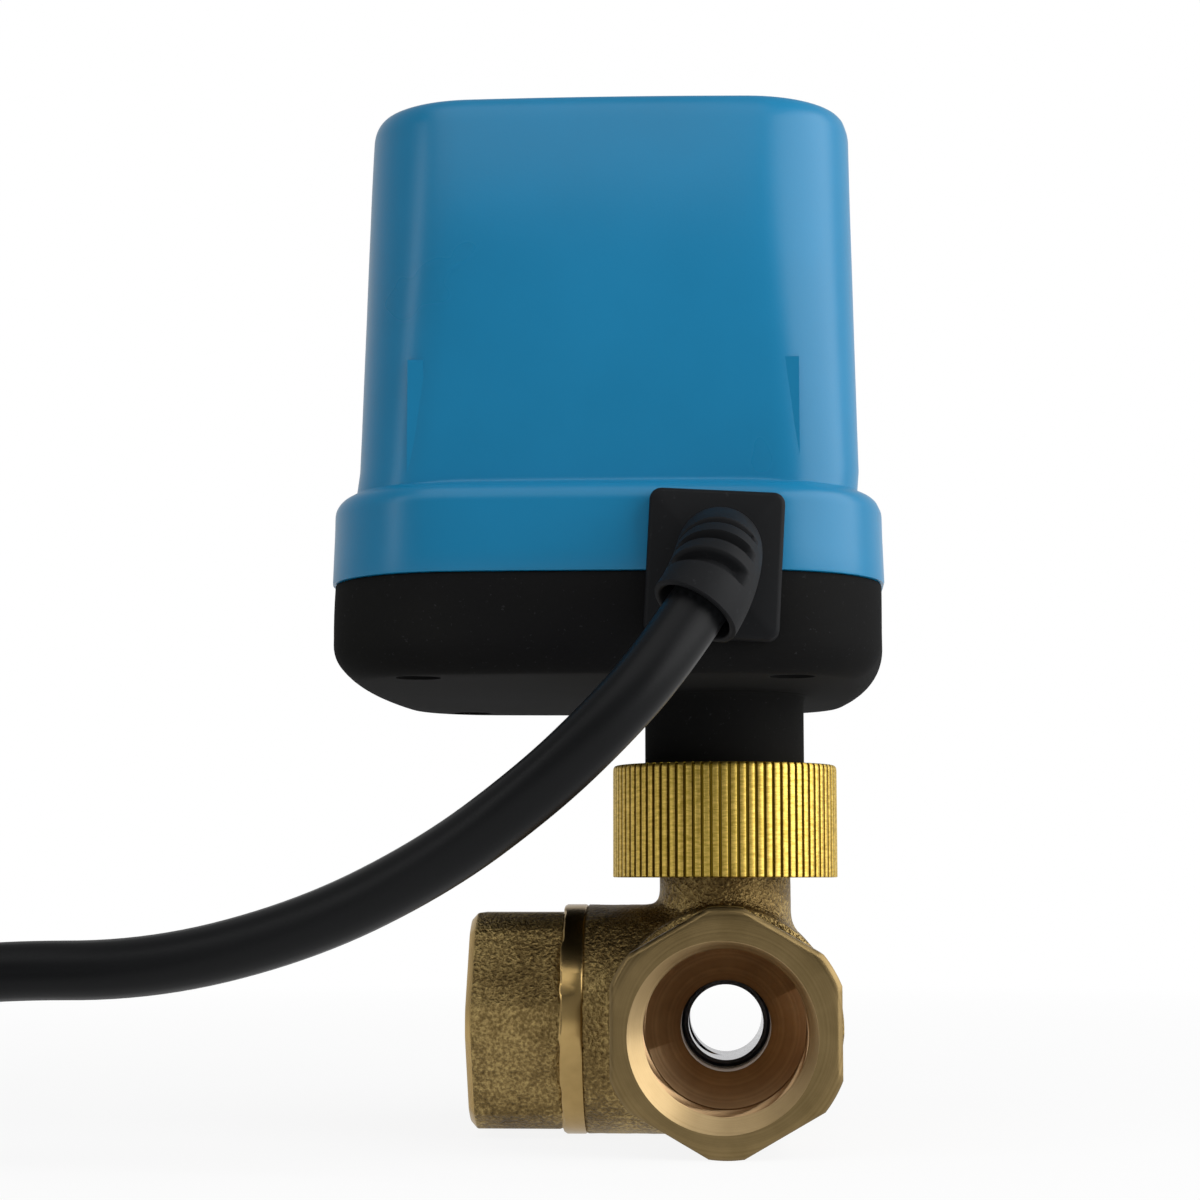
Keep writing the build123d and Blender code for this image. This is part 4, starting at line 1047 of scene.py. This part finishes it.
# Gland: flange over the seam, plug through the wall and a ribbed boot that bends down with the cable
glandShape = {
    "middle": (12.5, -42.0, 65.4),
    # width, height and corner radius of the flange, the plug in the wall and the barb behind it
    "flange": (14.9, 16.3, 1.3),
    "plug": (9.8, 8.8, 1.0),
    "barb": (14.0, 13.0, 1.2),
    "thickness": 3.5,
    "plugRise": 0.4,
    "barbFace": -36.7,
    "innerWall": -35.0,
    "roll": 3.0,
    "bootStart": (13.1, -41.6, 66.9),
    "bootPull": 16.0,
    "rootRadius": 4.55,
    "tipRadius": 4.9,
    "slotRadius": 3.5,
    # slots across the boot: place along it and half width, as shares of its length
    "slots": ((0.45, 0.026), (0.61, 0.034), (0.785, 0.044)),
    "mouthRadius": 4.15,
    "mouthDepth": 2.2,
    "stations": 150,
    "ringPoints": 80,
}


def roundedBox(mesh, middle, size, nearY, farY, edge, roll=0.0):
    # block with round corners seen from the front, and a soft front edge
    width, height, corner = size
    turn = radians(roll)
    outline = []
    for quadrant, (signX, signZ) in enumerate(((1, 1), (-1, 1), (-1, -1), (1, -1))):
        cornerX, cornerZ = signX * (width / 2 - corner), signZ * (height / 2 - corner)
        for step in range(9):
            a = pi / 2 * (quadrant + step / 8)
            outline.append((cornerX, cornerZ, cos(a), sin(a)))
    rings = []
    for y, inset in ((nearY, edge), (nearY + edge * 0.3, edge * 0.3), (nearY + edge, 0.0), (farY, 0.0)):
        ring = []
        for cornerX, cornerZ, outX, outZ in outline:
            x, z = cornerX + outX * (corner - inset), cornerZ + outZ * (corner - inset)
            ring.append((
                middle[0] + x * cos(turn) + z * sin(turn), y,
                middle[2] - x * sin(turn) + z * cos(turn),
            ))
        rings.append(ring)
    addShell(mesh, rings)


def makeGland(shape, route):
    mesh = bmesh.new()
    middle, near, inner = shape["middle"], shape["middle"][1], shape["innerWall"]
    back = near + shape["thickness"]
    raised = (middle[0], 0, middle[2] + shape["plugRise"])
    roundedBox(mesh, middle, shape["flange"], near, back, 0.5, shape["roll"])
    roundedBox(mesh, raised, shape["plug"], back - 0.2, inner, 0.2)
    roundedBox(mesh, raised, shape["barb"], shape["barbFace"], inner, 0.3)
    start, end = Vector(shape["bootStart"]), Vector(route[0])
    startPull = Vector((0, -1, 0)) * shape["bootPull"]
    endPull = (Vector(route[1]) - end).normalized() * shape["bootPull"]
    rings = []
    for number in range(shape["stations"] + 1):
        t = number / shape["stations"]
        point = (
            start * (2 * t**3 - 3 * t**2 + 1) + startPull * (t**3 - 2 * t**2 + t)
            + end * (3 * t**2 - 2 * t**3) + endPull * (t**3 - t**2)
        )
        heading = (
            start * (6 * t**2 - 6 * t) + startPull * (3 * t**2 - 4 * t + 1)
            + end * (6 * t - 6 * t**2) + endPull * (3 * t**2 - 2 * t)
        ).normalized()
        across = Vector((1, 0, 0)) - heading * heading.x
        across.normalize()
        upward = across.cross(heading)
        # slots cut in from the front and the back leave a spine down each side
        cut = max(clamp((1.25 - abs(t - place) / half) / 0.5) for place, half in shape["slots"])
        tip = shape["rootRadius"] + (shape["tipRadius"] - shape["rootRadius"]) * t
        ring = []
        for a in turnsOf(shape["ringPoints"]):
            depth = smoothStep(clamp((abs(sin(a)) - 0.45) / 0.22) * cut)
            reach = tip - (tip - shape["slotRadius"]) * depth
            ring.append(point + (across * cos(a) + upward * sin(a)) * reach)
        rings.append(ring)
    # open mouth with the lead's stub in it
    spokes = [(point - end).normalized() for point in rings[-1]]
    core = cableSizes["diameter"] / 2 - 0.04
    for reach, ahead in (
        (shape["tipRadius"] - 0.2, 0.15), (shape["mouthRadius"] + 0.15, 0.15), (shape["mouthRadius"], 0),
        (shape["mouthRadius"], -shape["mouthDepth"]), (core, -shape["mouthDepth"]), (core, 0.3),
    ):
        rings.append([end + spoke * reach + heading * ahead for spoke in spokes])
    addShell(mesh, rings)
    return finishPiece(
        mesh, "gland_boot", [materials["gland_rubber"]], "actuator", ["cable_gland"], 50
    )


glandBoot = makeGland(glandShape, cableSizes["route"])
cableLead = makeCable(cableSizes, materials["cable_pvc"])
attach(cableLead, "actuator")
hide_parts("cable", "cable_coil")
print("stage 6: gland, cable and coil")

# Floor, lamps and world
stageSettings = {
    "floorSize": 6.0,
    "floorColour": (0.86, 0.86, 0.86, 1.0),
    "floorGlow": 0.88,
    "floorMirrored": 0.7,
    "glowNear": 0.12,
    "glowFar": 0.45,
    "worldLight": 0.26,
    "roomBehindCamera": 0.36,
    "backdropMirrored": 0.75,
    "ceilingMirrored": 0.45,
    "lamps": (
        # name, place, aimed at, width, height, watts
        ("sideSoftbox", (0.555, -0.18, 0.31), (0, 0, 0.08), 0.8, 0.75, 5.7),
        ("topSoftbox", (-0.09, -0.34, 0.61), (0, 0, 0.08), 0.6, 0.6, 1.5),
        ("stripLamp", (-0.50, -0.29, 0.25), (0, 0, 0.09), 0.08, 0.5, 0.4),
    ),
}


def makeFloor(settings):
    mesh = bpy.data.meshes.new("studio_floor")
    half = settings["floorSize"] / 2
    corners = [(-half, -half, 0), (half, -half, 0), (half, half, 0), (-half, half, 0)]
    mesh.from_pydata(corners, [], [(0, 1, 2, 3)])
    material = bpy.data.materials.new("paleFloor")
    tree = emptyTree(material)
    diffuse = addNode(tree, "ShaderNodeBsdfDiffuse", {"Color": settings["floorColour"]})
    glow = addNode(tree, "ShaderNodeEmission", {"Color": (1, 1, 1, 1), "Strength": 1.0})
    rays = addNode(tree, "ShaderNodeLightPath").outputs
    # the glow rises from the object to the floor's far end, so that the horizon doesn't show
    place = addNode(tree, "ShaderNodeTexCoord").outputs["Object"]
    away = addNode(tree, "ShaderNodeVectorMath", {0: place}, operation="LENGTH").outputs["Value"]
    rise = addNode(tree, "ShaderNodeMapRange", {
        0: away, 1: settings["glowNear"], 2: settings["glowFar"], 3: settings["floorGlow"], 4: 1.0,
    })
    reflected = {0: rays["Is Glossy Ray"], 1: settings["floorMirrored"]}
    mirrored = addNode(tree, "ShaderNodeMath", reflected, operation="MULTIPLY")
    seen = addNode(tree, "ShaderNodeMath", {0: rays["Is Camera Ray"], 1: mirrored}, operation="MAXIMUM")
    share = addNode(tree, "ShaderNodeMath", {0: seen, 1: rise}, operation="MULTIPLY")
    mixed = addNode(tree, "ShaderNodeMixShader", {0: share, 1: diffuse, 2: glow})
    addNode(tree, "ShaderNodeOutputMaterial", {"Surface": mixed})
    floor = linkObject("studio_floor", mesh, [material])


def makeWorld(settings):
    world = bpy.data.worlds.new("studio")
    scene.world = world
    tree = emptyTree(world)
    rays = addNode(tree, "ShaderNodeLightPath").outputs
    shown = {0: rays["Is Camera Ray"], 1: rays["Is Transmission Ray"]}
    seen = addNode(tree, "ShaderNodeMath", shown, operation="MAXIMUM")
    # metal shows the white backdrop behind the object and a dimmer room in front of it
    direction = addNode(tree, "ShaderNodeTexCoord").outputs["Generated"]
    heading = addNode(tree, "ShaderNodeSeparateXYZ", {0: direction}).outputs
    backdrop = addNode(tree, "ShaderNodeMapRange", {
        0: heading[1], 1: -0.5, 2: 0.6, 3: settings["roomBehindCamera"], 4: settings["backdropMirrored"],
    })
    ceiling = addNode(tree, "ShaderNodeMapRange", {
        0: heading[2], 1: 0.2, 2: 0.8, 3: 1.0, 4: settings["ceilingMirrored"],
    })
    room = addNode(tree, "ShaderNodeMath", {0: backdrop, 1: ceiling}, operation="MULTIPLY")
    light = addNode(tree, "ShaderNodeMix", {0: rays["Is Glossy Ray"], 2: settings["worldLight"], 3: room})
    strength = addNode(tree, "ShaderNodeMath", {0: seen, 1: light}, operation="MAXIMUM")
    background = addNode(tree, "ShaderNodeBackground", {"Color": (1, 1, 1, 1), "Strength": strength})
    addNode(tree, "ShaderNodeOutputWorld", {"Surface": background})


def makeLamps(settings):
    for name, place, target, width, height, watts in settings["lamps"]:
        data = bpy.data.lights.new(name, "AREA")
        data.shape = "RECTANGLE"
        data.size = width
        data.size_y = height
        data.energy = watts
        lamp = linkObject(name, data)
        lamp.location = place
        lamp.rotation_euler = (Vector(target) - Vector(place)).to_track_quat("-Z", "Y").to_euler()


makeFloor(stageSettings)
makeWorld(stageSettings)
makeLamps(stageSettings)
print("stage 7: studio")
